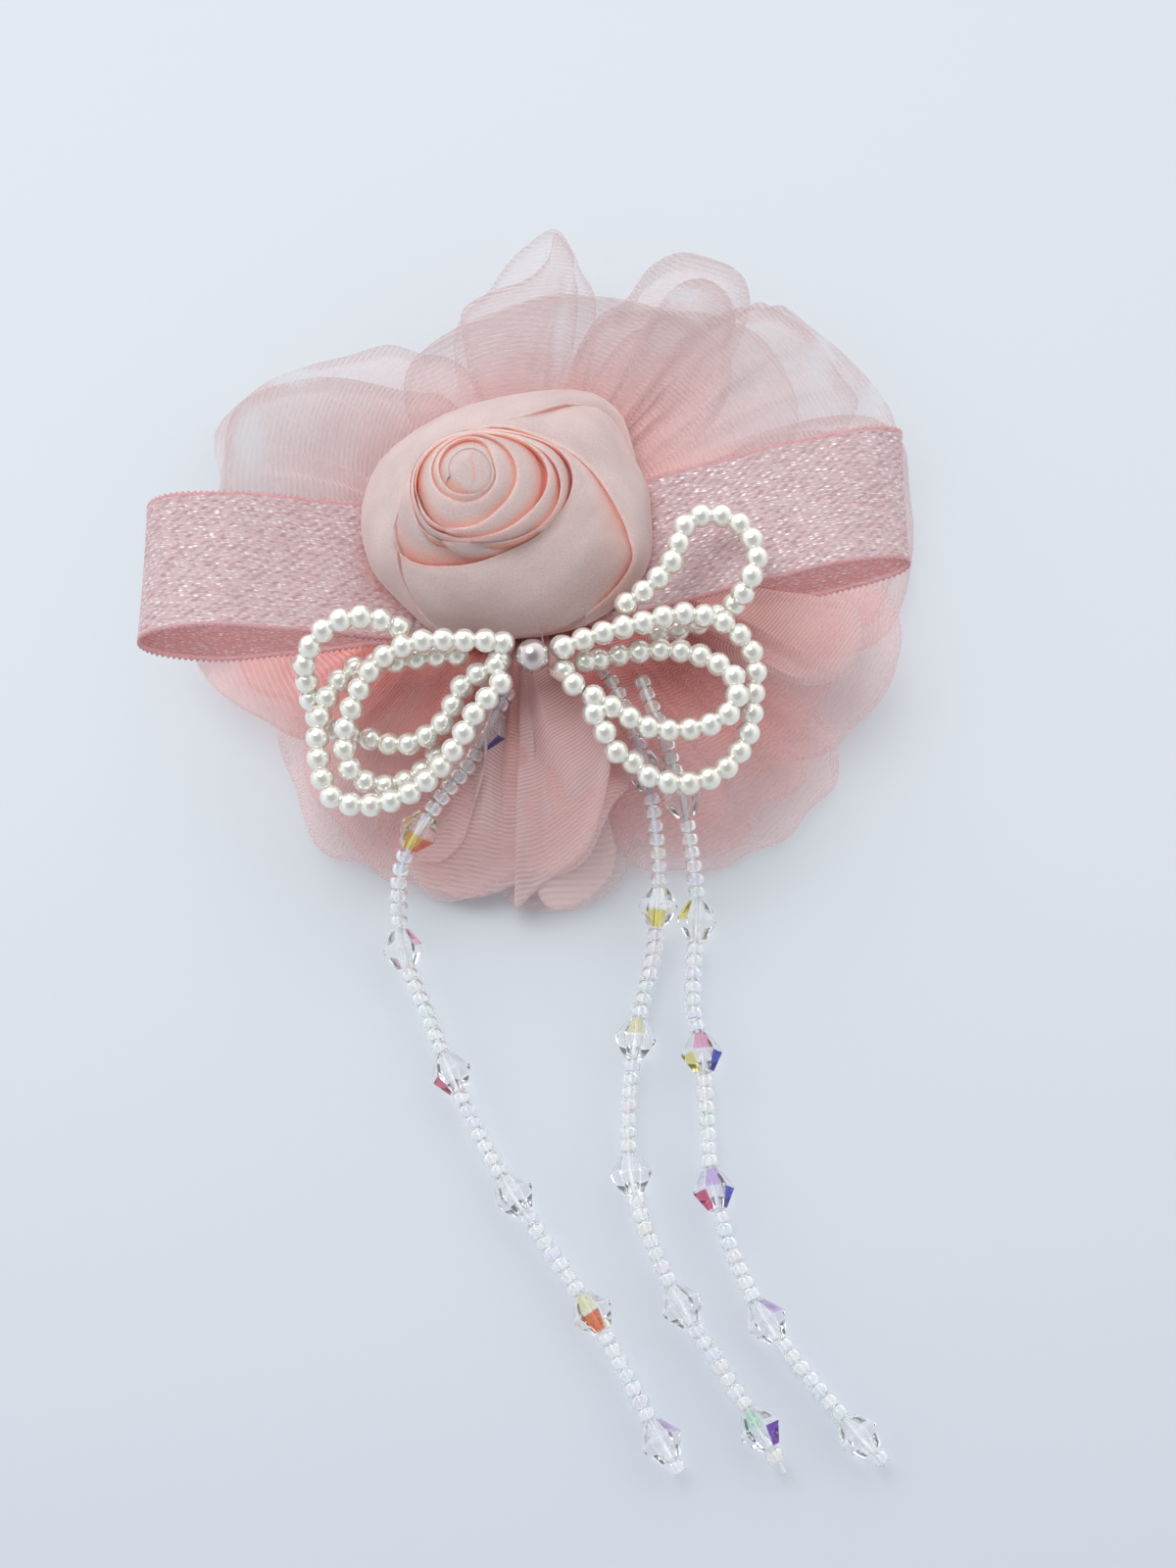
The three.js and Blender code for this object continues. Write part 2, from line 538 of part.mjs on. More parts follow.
function ribbonBow() {
  const path = [];
  for (let i = 0; i <= BOW_STATIONS; i++) path.push(bowPoint(LEFT_LOOP, -1, (i / BOW_STATIONS) * 2 * Math.PI));
  for (let i = BOW_STATIONS; i >= 0; i--) path.push(bowPoint(RIGHT_LOOP, 1, (i / BOW_STATIONS) * 2 * Math.PI));
  const spaced = path.filter((point, i) => i === 0 || point.distanceTo(path[i - 1]) > RIBBON_THICKNESS);
  const rings = spaced.map((point, i) => {
    const before = spaced[(i + spaced.length - 1) % spaced.length];
    const after = spaced[(i + 1) % spaced.length];
    const along = after.clone().sub(before).normalize();
    const out = new THREE.Vector3(-along.z, 0, along.x).normalize();
    const corner = (width, thick) => point.clone()
      .add(new THREE.Vector3(0, (width * RIBBON_WIDTH) / 2, 0))
      .addScaledVector(out, (thick * RIBBON_THICKNESS) / 2);
    return [corner(-1, -1), corner(1, -1), corner(1, 1), corner(-1, 1)];
  });
  return loftedBody(rings, true);
}

// A point on the rose's wall, from its foot (up 0) to its rim (up 1)
function rosePoint(share, angle, up, offset) {
  const rimRadius = BUD_RADIUS + (ROSE_RADIUS - BUD_RADIUS) * share ** ROSE_SPREAD;
  const radius = rimRadius - ROSE_FLARE * share * (1 - up) ** ROSE_CURVE + offset;
  const squash = 1 - (1 - ROSE_SQUASH) * share;
  const centre = BUD_CENTRE.clone().lerp(ROSE_CENTRE, share);
  const rim = ROSE_HEIGHT - ROSE_RIM_DROP * share ** ROSE_DOME;
  return new THREE.Vector3(
    centre.x + radius * Math.cos(angle),
    centre.y + radius * squash * Math.sin(angle),
    roseSeat + rim * up,
  );
}

function satinRose() {
  const steps = Math.round(ROSE_TURNS * ROSE_STEPS_PER_TURN);
  const half = ROSE_WALL / 2;
  const levels = [0, 0.5, ROSE_LIP];
  const rings = [];
  const middles = [];
  for (let i = 0; i <= steps; i++) {
    const share = i / steps;
    const angle = THREE.MathUtils.degToRad(ROSE_END_ANGLE) + (1 - share) * ROSE_TURNS * 2 * Math.PI;
    const at = (up, offset) => rosePoint(share, angle, up, offset);
    const inner = levels.map((up) => at(up, -half));
    const outer = levels.map((up) => at(up, half));
    rings.push([...inner, at(1, 0), ...outer.reverse()]);
    middles.push(at(0, 0));
  }
  printLeastGap('rose winding', middles, ROSE_STEPS_PER_TURN / 2, ROSE_WALL);
  return loftedBody(rings);
}

// Beads

function routeCurve(route) {
  return new THREE.CatmullRomCurve3(route.map(([x, y, z]) => new THREE.Vector3(x, y, z)));
}

// Pearls on a wire: one body, swelling at each pearl and thin between them
function pearlLoop(route) {
  const curve = routeCurve(route);
  const length = curve.getLength();
  const count = Math.floor((length - PEARL) / PEARL_PITCH) + 1;
  const start = (length - (count - 1) * PEARL_PITCH) / 2;
  const points = [];
  const radii = [];
  const ring = (place, radius) => {
    points.push(curve.getPointAt(THREE.MathUtils.clamp(place / length, 0, 1)));
    radii.push(radius);
  };
  ring(start - PEARL / 2, THREAD / 2);
  for (let i = 0; i < count; i++) {
    const middle = start + i * PEARL_PITCH;
    const waist = (PEARL / 2) * Math.sqrt(1 - PEARL_SHOULDER ** 2);
    ring(middle - (PEARL_SHOULDER * PEARL) / 2, waist);
    ring(middle + (PEARL_SHOULDER * PEARL) / 2, waist);
    ring(i < count - 1 ? middle + PEARL_PITCH / 2 : middle + PEARL / 2, THREAD / 2);
  }
  return tubeBody(points, radii, BEAD_SIDES);
}

function centrePearl() {
  return new THREE.SphereGeometry(CENTRE_PEARL / 2, 12, 8).translate(...CENTRE_PEARL_PLACE);
}

// A six-sided bicone with a bore along its length
function crystalGeometry() {
  const half = CRYSTAL_LENGTH / 2;
  const profile = [
    [CRYSTAL_BORE / 2, -half], [CRYSTAL_END_DIAMETER / 2, -half], [CRYSTAL_DIAMETER / 2, 0],
    [CRYSTAL_END_DIAMETER / 2, half], [CRYSTAL_BORE / 2, half], [CRYSTAL_BORE / 2, -half],
  ];
  return new THREE.LatheGeometry(profile.map(([x, y]) => new THREE.Vector2(x, y)), BEAD_SIDES);
}

// A thread with its seed beads as one body, and the crystals that slide on it
function strand({ name, seeds, route }) {
  const curve = routeCurve(route);
  const length = curve.getLength();
  const pointAt = (place) => curve.getPointAt(THREE.MathUtils.clamp(place / length, 0, 1));
  const points = [pointAt(0)];
  const radii = [THREAD / 2];
  const meshes = [];
  let place = 0;
  const ring = (at, radius) => {
    points.push(pointAt(at));
    radii.push(radius);
  };
  seeds.forEach((count, run) => {
    for (let i = 0; i < count; i++) {
      ring(place + SEED_LENGTH * SEED_SHOULDER, SEED_DIAMETER / 2);
      ring(place + SEED_LENGTH * (1 - SEED_SHOULDER), SEED_DIAMETER / 2);
      place += SEED_LENGTH;
      ring(place, THREAD / 2);
    }
    if (run === seeds.length - 1) return;
    const middle = place + SEAT_GAP + CRYSTAL_LENGTH / 2;
    const crystal = piece(`crystal_${name}_${run + 1}`, crystalGeometry(), 'crystal');
    crystal.position.copy(pointAt(middle));
    const along = pointAt(middle + CRYSTAL_LENGTH / 2).sub(pointAt(middle - CRYSTAL_LENGTH / 2)).normalize();
    crystal.quaternion.setFromUnitVectors(new THREE.Vector3(0, 1, 0), along);
    meshes.push(crystal);
    ring(middle, THREAD / 2);
    place = middle + CRYSTAL_LENGTH / 2 + SEAT_GAP;
    ring(place, THREAD / 2);
  });
  console.log(`strand ${name}: route ${length.toFixed(1)} mm, beads ${place.toFixed(1)} mm`);
  meshes.push(piece(`strand_${name}_seeds`, tubeBody(points, radii, SEED_SIDES), 'seed'));
  return meshes;
}

// Assembly: the flower's heights count from the top of the felt
const flower = new THREE.Group();
flower.position.z = feltTop;
for (const entry of PETALS) flower.add(piece(entry.name, petal(entry), 'organza'));
flower.add(piece('ribbon_bow', ribbonBow(), 'ribbon'));
flower.add(piece('satin_rose', satinRose(), 'satin'));
for (const { name, route } of PEARL_LOOPS) flower.add(piece(name, pearlLoop(route), 'pearl'));
flower.add(piece('centre_pearl', centrePearl(), 'pearl'));

const hairClip = new THREE.Group();
hairClip.add(
  piece('clip_arm', clipArm(), 'steel'),
  piece('clip_jaw', clipJaw(), 'steel'),
  piece('hinge_pin', hingePin(), 'steel'),
  piece('torsion_spring', torsionSpring(), 'spring'),
  piece('felt_base', feltBase(), 'felt'),
  flower,
);
for (const entry of STRANDS) hairClip.add(...strand(entry));

export default hairClip;
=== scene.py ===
# A flower hair clip lying face up on a pale table: sheer organza petals, a glittering ribbon bow,
# a rolled satin rose, pearl loops and three strands of glass beads, on a sprung steel clip.
# Sizes are in millimetres unless said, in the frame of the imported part, and metres in the meshes.

import math

import bpy
import numpy as np
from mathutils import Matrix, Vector


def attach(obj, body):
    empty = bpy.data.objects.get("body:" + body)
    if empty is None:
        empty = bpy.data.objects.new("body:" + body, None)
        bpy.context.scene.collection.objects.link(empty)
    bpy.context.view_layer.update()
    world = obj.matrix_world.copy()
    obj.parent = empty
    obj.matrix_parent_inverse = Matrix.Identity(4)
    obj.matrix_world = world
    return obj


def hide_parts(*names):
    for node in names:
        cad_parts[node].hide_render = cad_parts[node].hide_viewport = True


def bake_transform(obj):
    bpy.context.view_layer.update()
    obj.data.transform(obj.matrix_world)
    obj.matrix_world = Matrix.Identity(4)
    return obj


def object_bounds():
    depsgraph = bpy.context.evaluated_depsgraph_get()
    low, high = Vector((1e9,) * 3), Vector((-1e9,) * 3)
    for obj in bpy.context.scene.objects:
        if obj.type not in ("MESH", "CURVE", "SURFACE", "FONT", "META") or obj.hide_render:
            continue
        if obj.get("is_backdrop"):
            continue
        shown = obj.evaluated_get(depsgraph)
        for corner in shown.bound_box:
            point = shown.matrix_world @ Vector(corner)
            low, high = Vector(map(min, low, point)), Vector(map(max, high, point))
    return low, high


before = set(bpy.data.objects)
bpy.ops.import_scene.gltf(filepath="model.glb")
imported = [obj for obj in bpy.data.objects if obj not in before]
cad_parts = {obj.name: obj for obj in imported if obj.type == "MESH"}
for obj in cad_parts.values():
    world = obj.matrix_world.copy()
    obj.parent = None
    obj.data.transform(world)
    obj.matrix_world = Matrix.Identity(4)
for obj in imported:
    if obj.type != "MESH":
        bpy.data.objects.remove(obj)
cad_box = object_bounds()

MM = 0.001
FLOWER_BODY = "flower_and_arm"

# Seeds of the random draws: the strands and petals count on from theirs
STRAND_DRAWS = 40
PEARL_DRAWS = 7
PETAL_DRAWS = 100

# View: the photograph's frame in pixels, and the place it was taken from
IMAGE_WIDTH = 1200
IMAGE_HEIGHT = 1600
FOCAL_PIXELS = 2948
VIEW_ELEVATION = math.radians(69)
VIEW_DISTANCE = 440
VIEW_TARGET = np.array([7.7, -36.1, 0.0])
VIEW_WAY = np.array([0, -math.cos(VIEW_ELEVATION), math.sin(VIEW_ELEVATION)])
VIEW_UP = np.array([0, math.sin(VIEW_ELEVATION), math.cos(VIEW_ELEVATION)])
EYE = VIEW_TARGET + VIEW_DISTANCE * VIEW_WAY
SENSOR = 36

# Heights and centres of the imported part
HUB = np.array([-2.0, -4.0])
ARM_UNDERSIDE = 9.9
HINGE = np.array([9.0, -4.0, 6.4])
FELT_RADIUS = 18
FELT_BOTTOM = 11.0
FELT_TOP = 13.0
ROSE_SEAT = 18.3

# Felt: the radius of its soft edge, the rings of its faces, and how uneven its outline is
FELT_EDGE = 0.5
FELT_RINGS = (0.05, 6.0, 12.0, 16.0)
FELT_UNEVENNESS = 0.004

# Spring
WIRE = 0.6
COIL_RADIUS = 1.45
COIL_TURNS = 3.5
COIL_PITCH = 1.1
LEG_REACH = 8.5
JAW_LEG_HEIGHT = 1.95
LEG_GAP = 0.3  # between the arm and the leg under it

# Ribbon bow
RIBBON_WIDTH = 22
RIBBON_THICKNESS = 0.35
BOW_CENTRE = np.array([-4.0, -8.5])
BOW_FLAT = 14.5
BOW_MIDDLE = 17.2
BOW_SPREAD = 0.5
LEFT_LOOP = {"reach": 40, "swell": 9.2, "lift": 2.8, "slope": 0.04}
RIGHT_LOOP = {"reach": 45, "swell": 7.2, "lift": 2.8, "slope": 0.18}
SELVAGE = 0.8
PICOT_PITCH = 0.9
PICOT_REACH = 0.22
TWILL_PITCH = 1.15
BOW_STEPS = 300
RIBBON_COLUMNS = 15
BOW_CROWN = 0.25
BOW_RIPPLE = (0.18, 0.42, 0.11)  # height, and radians for each millimetre along and across

# Beads
PEARL = 3
PEARL_PITCH = 3.06
PEARL_SHOWN = 3.6
CENTRE_PEARL = 5
CENTRE_PEARL_PLACE = np.array([-0.4, -25.3, 24.0])
SEED_DIAMETER = 2.8
SEED_LENGTH = 2
SEED_BORE = 0.9
SEED_HALF = 0.48  # half a bead's own length, as a share of its space on the thread
SEED_FACE = 0.55  # rim of a bead's end, as a share of its radius
SEED_MOUTH = 0.8  # mouth of its bore, as a share of that half
SEED_ROUNDNESS = 0.7
SEED_SIDES = 14
CRYSTAL_DIAMETER = 6
CRYSTAL_LENGTH = 5.7
CRYSTAL_END_DIAMETER = 2.8
CRYSTAL_BORE = 1.2
CRYSTAL_BAND = 0.18  # half the width of the band round the waist
BEAD_GAP = 0.3
THREAD = 0.7
LOOP_WIRE = 0.5

# How unevenly the beads hang and turn, in radians
SEED_TILT = 0.06
PEARL_TILT = 0.1
CRYSTAL_SPIN = 0.2

# Pearl loops: the wire's route as x, y and height above the felt
PEARL_LOOPS = {
    "pearl_loop_left_upper": [
        (-18.5, -21, 10), (-24.5, -20, 13), (-29.5, -21, 13), (-33.5, -24.5, 10), (-33.5, -28, 5),
        (-32, -31.5, 1), (-24.5, -34.5, 1.5), (-19, -36, 3), (-13.5, -33.5, 5.5), (-10.5, -28.5, 8),
        (-4.3, -25.8, 10.6)],
    "pearl_loop_left_middle": [
        (-5.5, -23.5, 12.5), (-10.5, -23.5, 12.5), (-17, -23.5, 12), (-23, -26, 10.5), (-26.5, -31, 7.5),
        (-28, -36, 5), (-27, -40, 2.5), (-23, -41.5, 0.5), (-18, -40, 0), (-13.5, -35.5, 1)],
    "pearl_loop_left_lower": [
        (-8.5, -24, 8.5), (-14.5, -24, 8), (-20.5, -24.5, 7), (-27, -25.5, 6.5), (-31, -30.5, 5.5),
        (-32, -36.5, 3.5), (-30, -43.5, 1.5), (-25, -45, 1.5), (-19, -44, 3), (-14, -40.7, 5.5),
        (-10.5, -36.7, 8.5), (-7.5, -31.4, 10.4)],
    "pearl_loop_right_upper": [
        (11, -18.5, 11), (15.5, -16, 12.5), (20, -11.5, 14), (22.5, -5, 14), (26, -4, 14), (29.5, -5, 14),
        (32.5, -10, 14), (31, -15, 13.5), (28.7, -16.7, 9), (24, -18.3, 7), (15.5, -20.5, 6.5)],
    "pearl_loop_right_outer": [
        (1.7, -25, 11.2), (10, -22, 12), (15.5, -20.5, 12), (22, -19, 12), (28, -20, 10.5), (32, -24, 8),
        (32, -29.5, 6), (31, -35.5, 5), (27.5, -40.5, 4.3), (23, -42.5, 4.3), (17, -41.7, 4.3),
        (12.5, -37.5, 4.8)],
    "pearl_loop_right_inner": [
        (7, -25, 7.5), (13, -23.5, 7.5), (19.5, -23, 8), (25.5, -25, 9), (29.5, -29, 9.5),
        (28, -33.5, 8.5), (23.5, -35, 7), (17, -35, 7), (11.5, -32.5, 8.5), (6.5, -30, 10)],
}

# Bead strands: the thread's route as x, y and height above the table, and the seed beads before
# each crystal and after the last one
STRANDS = {
    "left": {
        "seeds": [2, 6, 6, 7, 7, 7, 7, 1],
        "route": [
            (-3.9, -28, 18.5), (-6.3, -32.8, 18.4), (-9.3, -38.4, 16), (-13, -42.9, 14.9),
            (-16.7, -47.5, 12.9), (-19.6, -52.5, 10), (-20.2, -58.5, 6.2), (-19.3, -65, 3.3),
            (-15.9, -73.4, 3), (-12, -82.9, 3), (-7.9, -91.8, 3), (-2.8, -100.7, 3), (3.2, -109.7, 3),
            (8.5, -117.6, 3), (13.2, -126.3, 3), (17.9, -135.1, 3), (20.5, -139.5, 3)],
    },
    "middle": {
        "seeds": [7, 7, 7, 7, 7, 7, 1],
        "route": [
            (9.4, -24.2, 17.5), (11.6, -27.1, 17), (13.8, -32, 15.6), (15.5, -36.2, 14.1),
            (16.6, -41, 12.6), (17.7, -47.5, 10), (18.2, -53.5, 7), (17.9, -59.5, 4.2), (17, -66, 3),
            (15.2, -73.3, 3), (14.4, -79.4, 3), (13.5, -89.7, 3), (14.3, -99.7, 3), (17.7, -109.7, 3),
            (21.9, -118, 3), (27.2, -126.3, 3), (32.4, -134.9, 3), (35, -139.5, 3)],
    },
    "right": {
        "seeds": [8, 6, 7, 7, 7, 7, 1],
        "route": [
            (15.5, -25.5, 17), (16.5, -28.5, 16.5), (18.7, -33.5, 15), (20.8, -39.8, 12.8),
            (21.8, -43.5, 11.2), (22.8, -49, 9), (23.6, -54.5, 6.5), (23.8, -60, 4.2), (23.2, -67, 3),
            (23.2, -73.4, 3), (24.2, -78.6, 3), (24.9, -88.9, 3), (25.6, -98.9, 3), (28.3, -108.9, 3),
            (32.6, -118, 3), (38.6, -126.3, 3), (45.2, -134.2, 3), (49, -138.5, 3)],
    },
}
CORD_POINTS = 40

# Further pearls of the loops that show beside the large pearl, as pixels and heights above the table
LOOP_TAILS = {
    "pearl_loop_right_inner": [(597, 675, 21), (575, 684, 22), (585, 698, 23.2)],
    "pearl_loop_left_lower": [(497, 713, 23.2), (511, 697, 23.6), (509, 674, 23)],
    "pearl_loop_left_middle": [(513, 656, 24.6)],
    "pearl_loop_right_outer": [(573, 660, 23.6), (629, 767, 19.2), (617, 747, 20.6), (606, 728, 21.6)],
}

# Facets that flash, with the coloured reflection of the coating painted into them: in each crystal along
# a strand, the crown (0 nearer the flower), the facet (0 faces the viewer, 1 is left of it and 5 right of
# it) and the colour
BLUE, VIOLET, LILAC = (14, 22, 160), (84, 30, 150), (200, 160, 230)
PINK, RED, ORANGE = (240, 150, 185), (205, 50, 80), (236, 90, 50)
YELLOW, STRAW, MINT = (240, 222, 90), (250, 240, 180), (190, 240, 200)
PAINTED_FLASHES = {
    "left": [
        [(1, 5, BLUE)], [(0, 1, STRAW), (1, 0, YELLOW), (1, 5, ORANGE)], [(0, 5, PINK)], [(1, 1, RED)], [],
        [(1, 0, ORANGE), (0, 0, STRAW)], [(0, 5, LILAC)]],
    "middle": [[], [(1, 0, YELLOW)], [(0, 0, STRAW)], [], [], [(0, 0, MINT), (1, 5, VIOLET)]],
    "right": [
        [], [(0, 1, YELLOW)], [(0, 0, PINK), (1, 1, YELLOW), (1, 5, BLUE)],
        [(0, 0, LILAC), (1, 1, RED), (1, 5, BLUE)], [(0, 5, LILAC)], []],
}
CRYSTAL_SIDES = 6

# Rose: the rim of the rolled strip, as turn and pixel, and its height above the table by turn
ROSE_RIM_PIXELS = [
    (0, 458, 486), (0.25, 479, 456), (0.5, 502, 474), (0.75, 486, 503), (1, 452, 494), (1.25, 484, 446),
    (1.5, 506, 474), (1.75, 474, 513), (2, 442, 495), (2.25, 490, 442), (2.5, 529, 480), (2.62, 514, 516),
    (2.75, 480, 538), (2.88, 446, 535), (3, 425, 502), (3.25, 490, 440), (3.5, 561, 487),
    (3.62, 540, 524), (3.75, 482, 549), (3.88, 442, 541), (4, 423, 512), (4.25, 493, 439),
    (4.5, 573, 492), (4.62, 556, 532), (4.75, 486, 554), (4.88, 440, 548), (5, 420, 516),
    (5.25, 497, 438), (5.5, 586, 486), (5.62, 566, 532), (5.75, 520, 562), (5.9, 464, 579), (6, 407, 563),
    (6.15, 440, 480), (6.25, 504, 434), (6.35, 552, 445), (6.42, 589, 464), (6.5, 621, 501),
    (6.6, 642, 545), (6.68, 644, 578), (6.75, 604, 623), (6.85, 521, 645), (6.95, 442, 639),
    (7, 411, 594), (7.05, 404, 569), (7.1, 408, 540), (7.15, 423, 503), (7.2, 448, 462), (7.25, 488, 438),
    (7.3, 531, 424), (7.36, 583, 411), (7.42, 618, 424), (7.5, 640, 464)]
ROSE_RIM_HEIGHTS = [
    (0, 34.7), (1.25, 34.4), (2, 34), (3, 33), (4, 31.8), (5, 30.4), (5.9, 28), (6, 27.8), (6.15, 28.3),
    (6.25, 28.5), (6.42, 28), (6.5, 27.5), (6.6, 26), (6.68, 24.5), (6.75, 20.5), (6.85, 19),
    (6.95, 20.5), (7, 24), (7.05, 26), (7.1, 27), (7.15, 28), (7.2, 28.3), (7.25, 28.5), (7.3, 28),
    (7.36, 25.4), (7.42, 22), (7.5, 19.6)]

# Rose: where the face of the outer wraps ends, as turn, pixel and height above the table
ROSE_FOOT_PIXELS = [
    (5, 407, 545, 26.5), (5.25, 500, 428, 27), (5.5, 622, 509, 24), (5.6, 642, 556, 22),
    (5.68, 636, 592, 20.6), (5.75, 590, 636, 19.5), (5.9, 488, 648, 19.2), (6, 442, 641, 19.5),
    (6.05, 404, 604, 20.5), (6.13, 398, 548, 22.5), (6.25, 500, 424, 26), (6.35, 562, 416, 25.5),
    (6.42, 614, 418, 24.5), (6.5, 651, 474, 22), (6.6, 664, 518, 20.5), (6.68, 660, 582, 19.5),
    (6.75, 614, 630, 18.8), (6.85, 522, 652, 18.6), (6.95, 440, 644, 18.8), (7, 388, 594, 21),
    (7.05, 374, 567, 21.3), (7.1, 368, 534, 21.5), (7.15, 374, 497, 21.7), (7.2, 396, 460, 22),
    (7.25, 454, 422, 22), (7.3, 521, 403, 22), (7.36, 593, 398, 22), (7.42, 630, 418, 21),
    (7.5, 650, 470, 19.2)]
BUD_PIXEL = (480, 480)
BUD_RISE = 0.5
BUD_FOLD = 0.35
BUD_DIP = 0.35
BUD_PEAK = (1.2, 2.2)  # its place behind the bud's middle, and its spread
BUD_SHADE_LINES = [(0.21, 0.22, 1), (1.5, 0.2, 0.7)]  # painted coral shade lines along the bud's folds: place across the bud, width and strength
ROSE_STEPS_PER_TURN = 48
ROSE_LIP = 0.14
ROSE_CORE = 31
ROSE_INNER_DEPTH = 2.0
ROSE_LEAN = 1.8
ROSE_LEAN_TURNS = (6.9, 7.12)
ROSE_TUCK = 0.9
ROSE_CREASE = 0.1
# Gaps between the wraps, as turn, spread and width
ROSE_GAPS = [
    (2.5, 0.1, 1.2), (3.5, 0.08, 0.3), (4.5, 0.08, 0.6), (1.95, 0.1, 0.5), (2.92, 0.1, 0.9),
    (4.9, 0.1, 0.9)]
ROSE_FRONT_TURN = 5.62
ROSE_FRONT_SPREAD = 0.16
ROSE_LEAN_SPREAD = 0.08
ROSE_WALL = 2.2  # inset of the inner wall, in lips
ROSE_UNDERCUT = 2.4
ROSE_BULGE = (0.12, 0.25)  # share of the face's reach, less a height
ROSE_BULGE_RANGE = (0.02, 2.0)
# Painted coral shade in the rose, on the inner walls, the lower faces and the tucked ends, where little
# light gets in between the wraps
ROSE_WALL_SHADE = 0.95
ROSE_FACE_SHADE = (0.06, 0.44)  # painted coral shade on the lower face everywhere, and more under the next wrap
ROSE_FACE_UNSHADED = 0.3  # share of the face, from the lip, that has no painted shade
ROSE_TUCK_SHADE = (0.55, 0.45)  # painted coral shade where the tuck starts, and more towards its end
ROSE_WAVES = [(0.12, 17.3, 0), (0.1, 31.1, 1)]  # height, rate and phase by turn
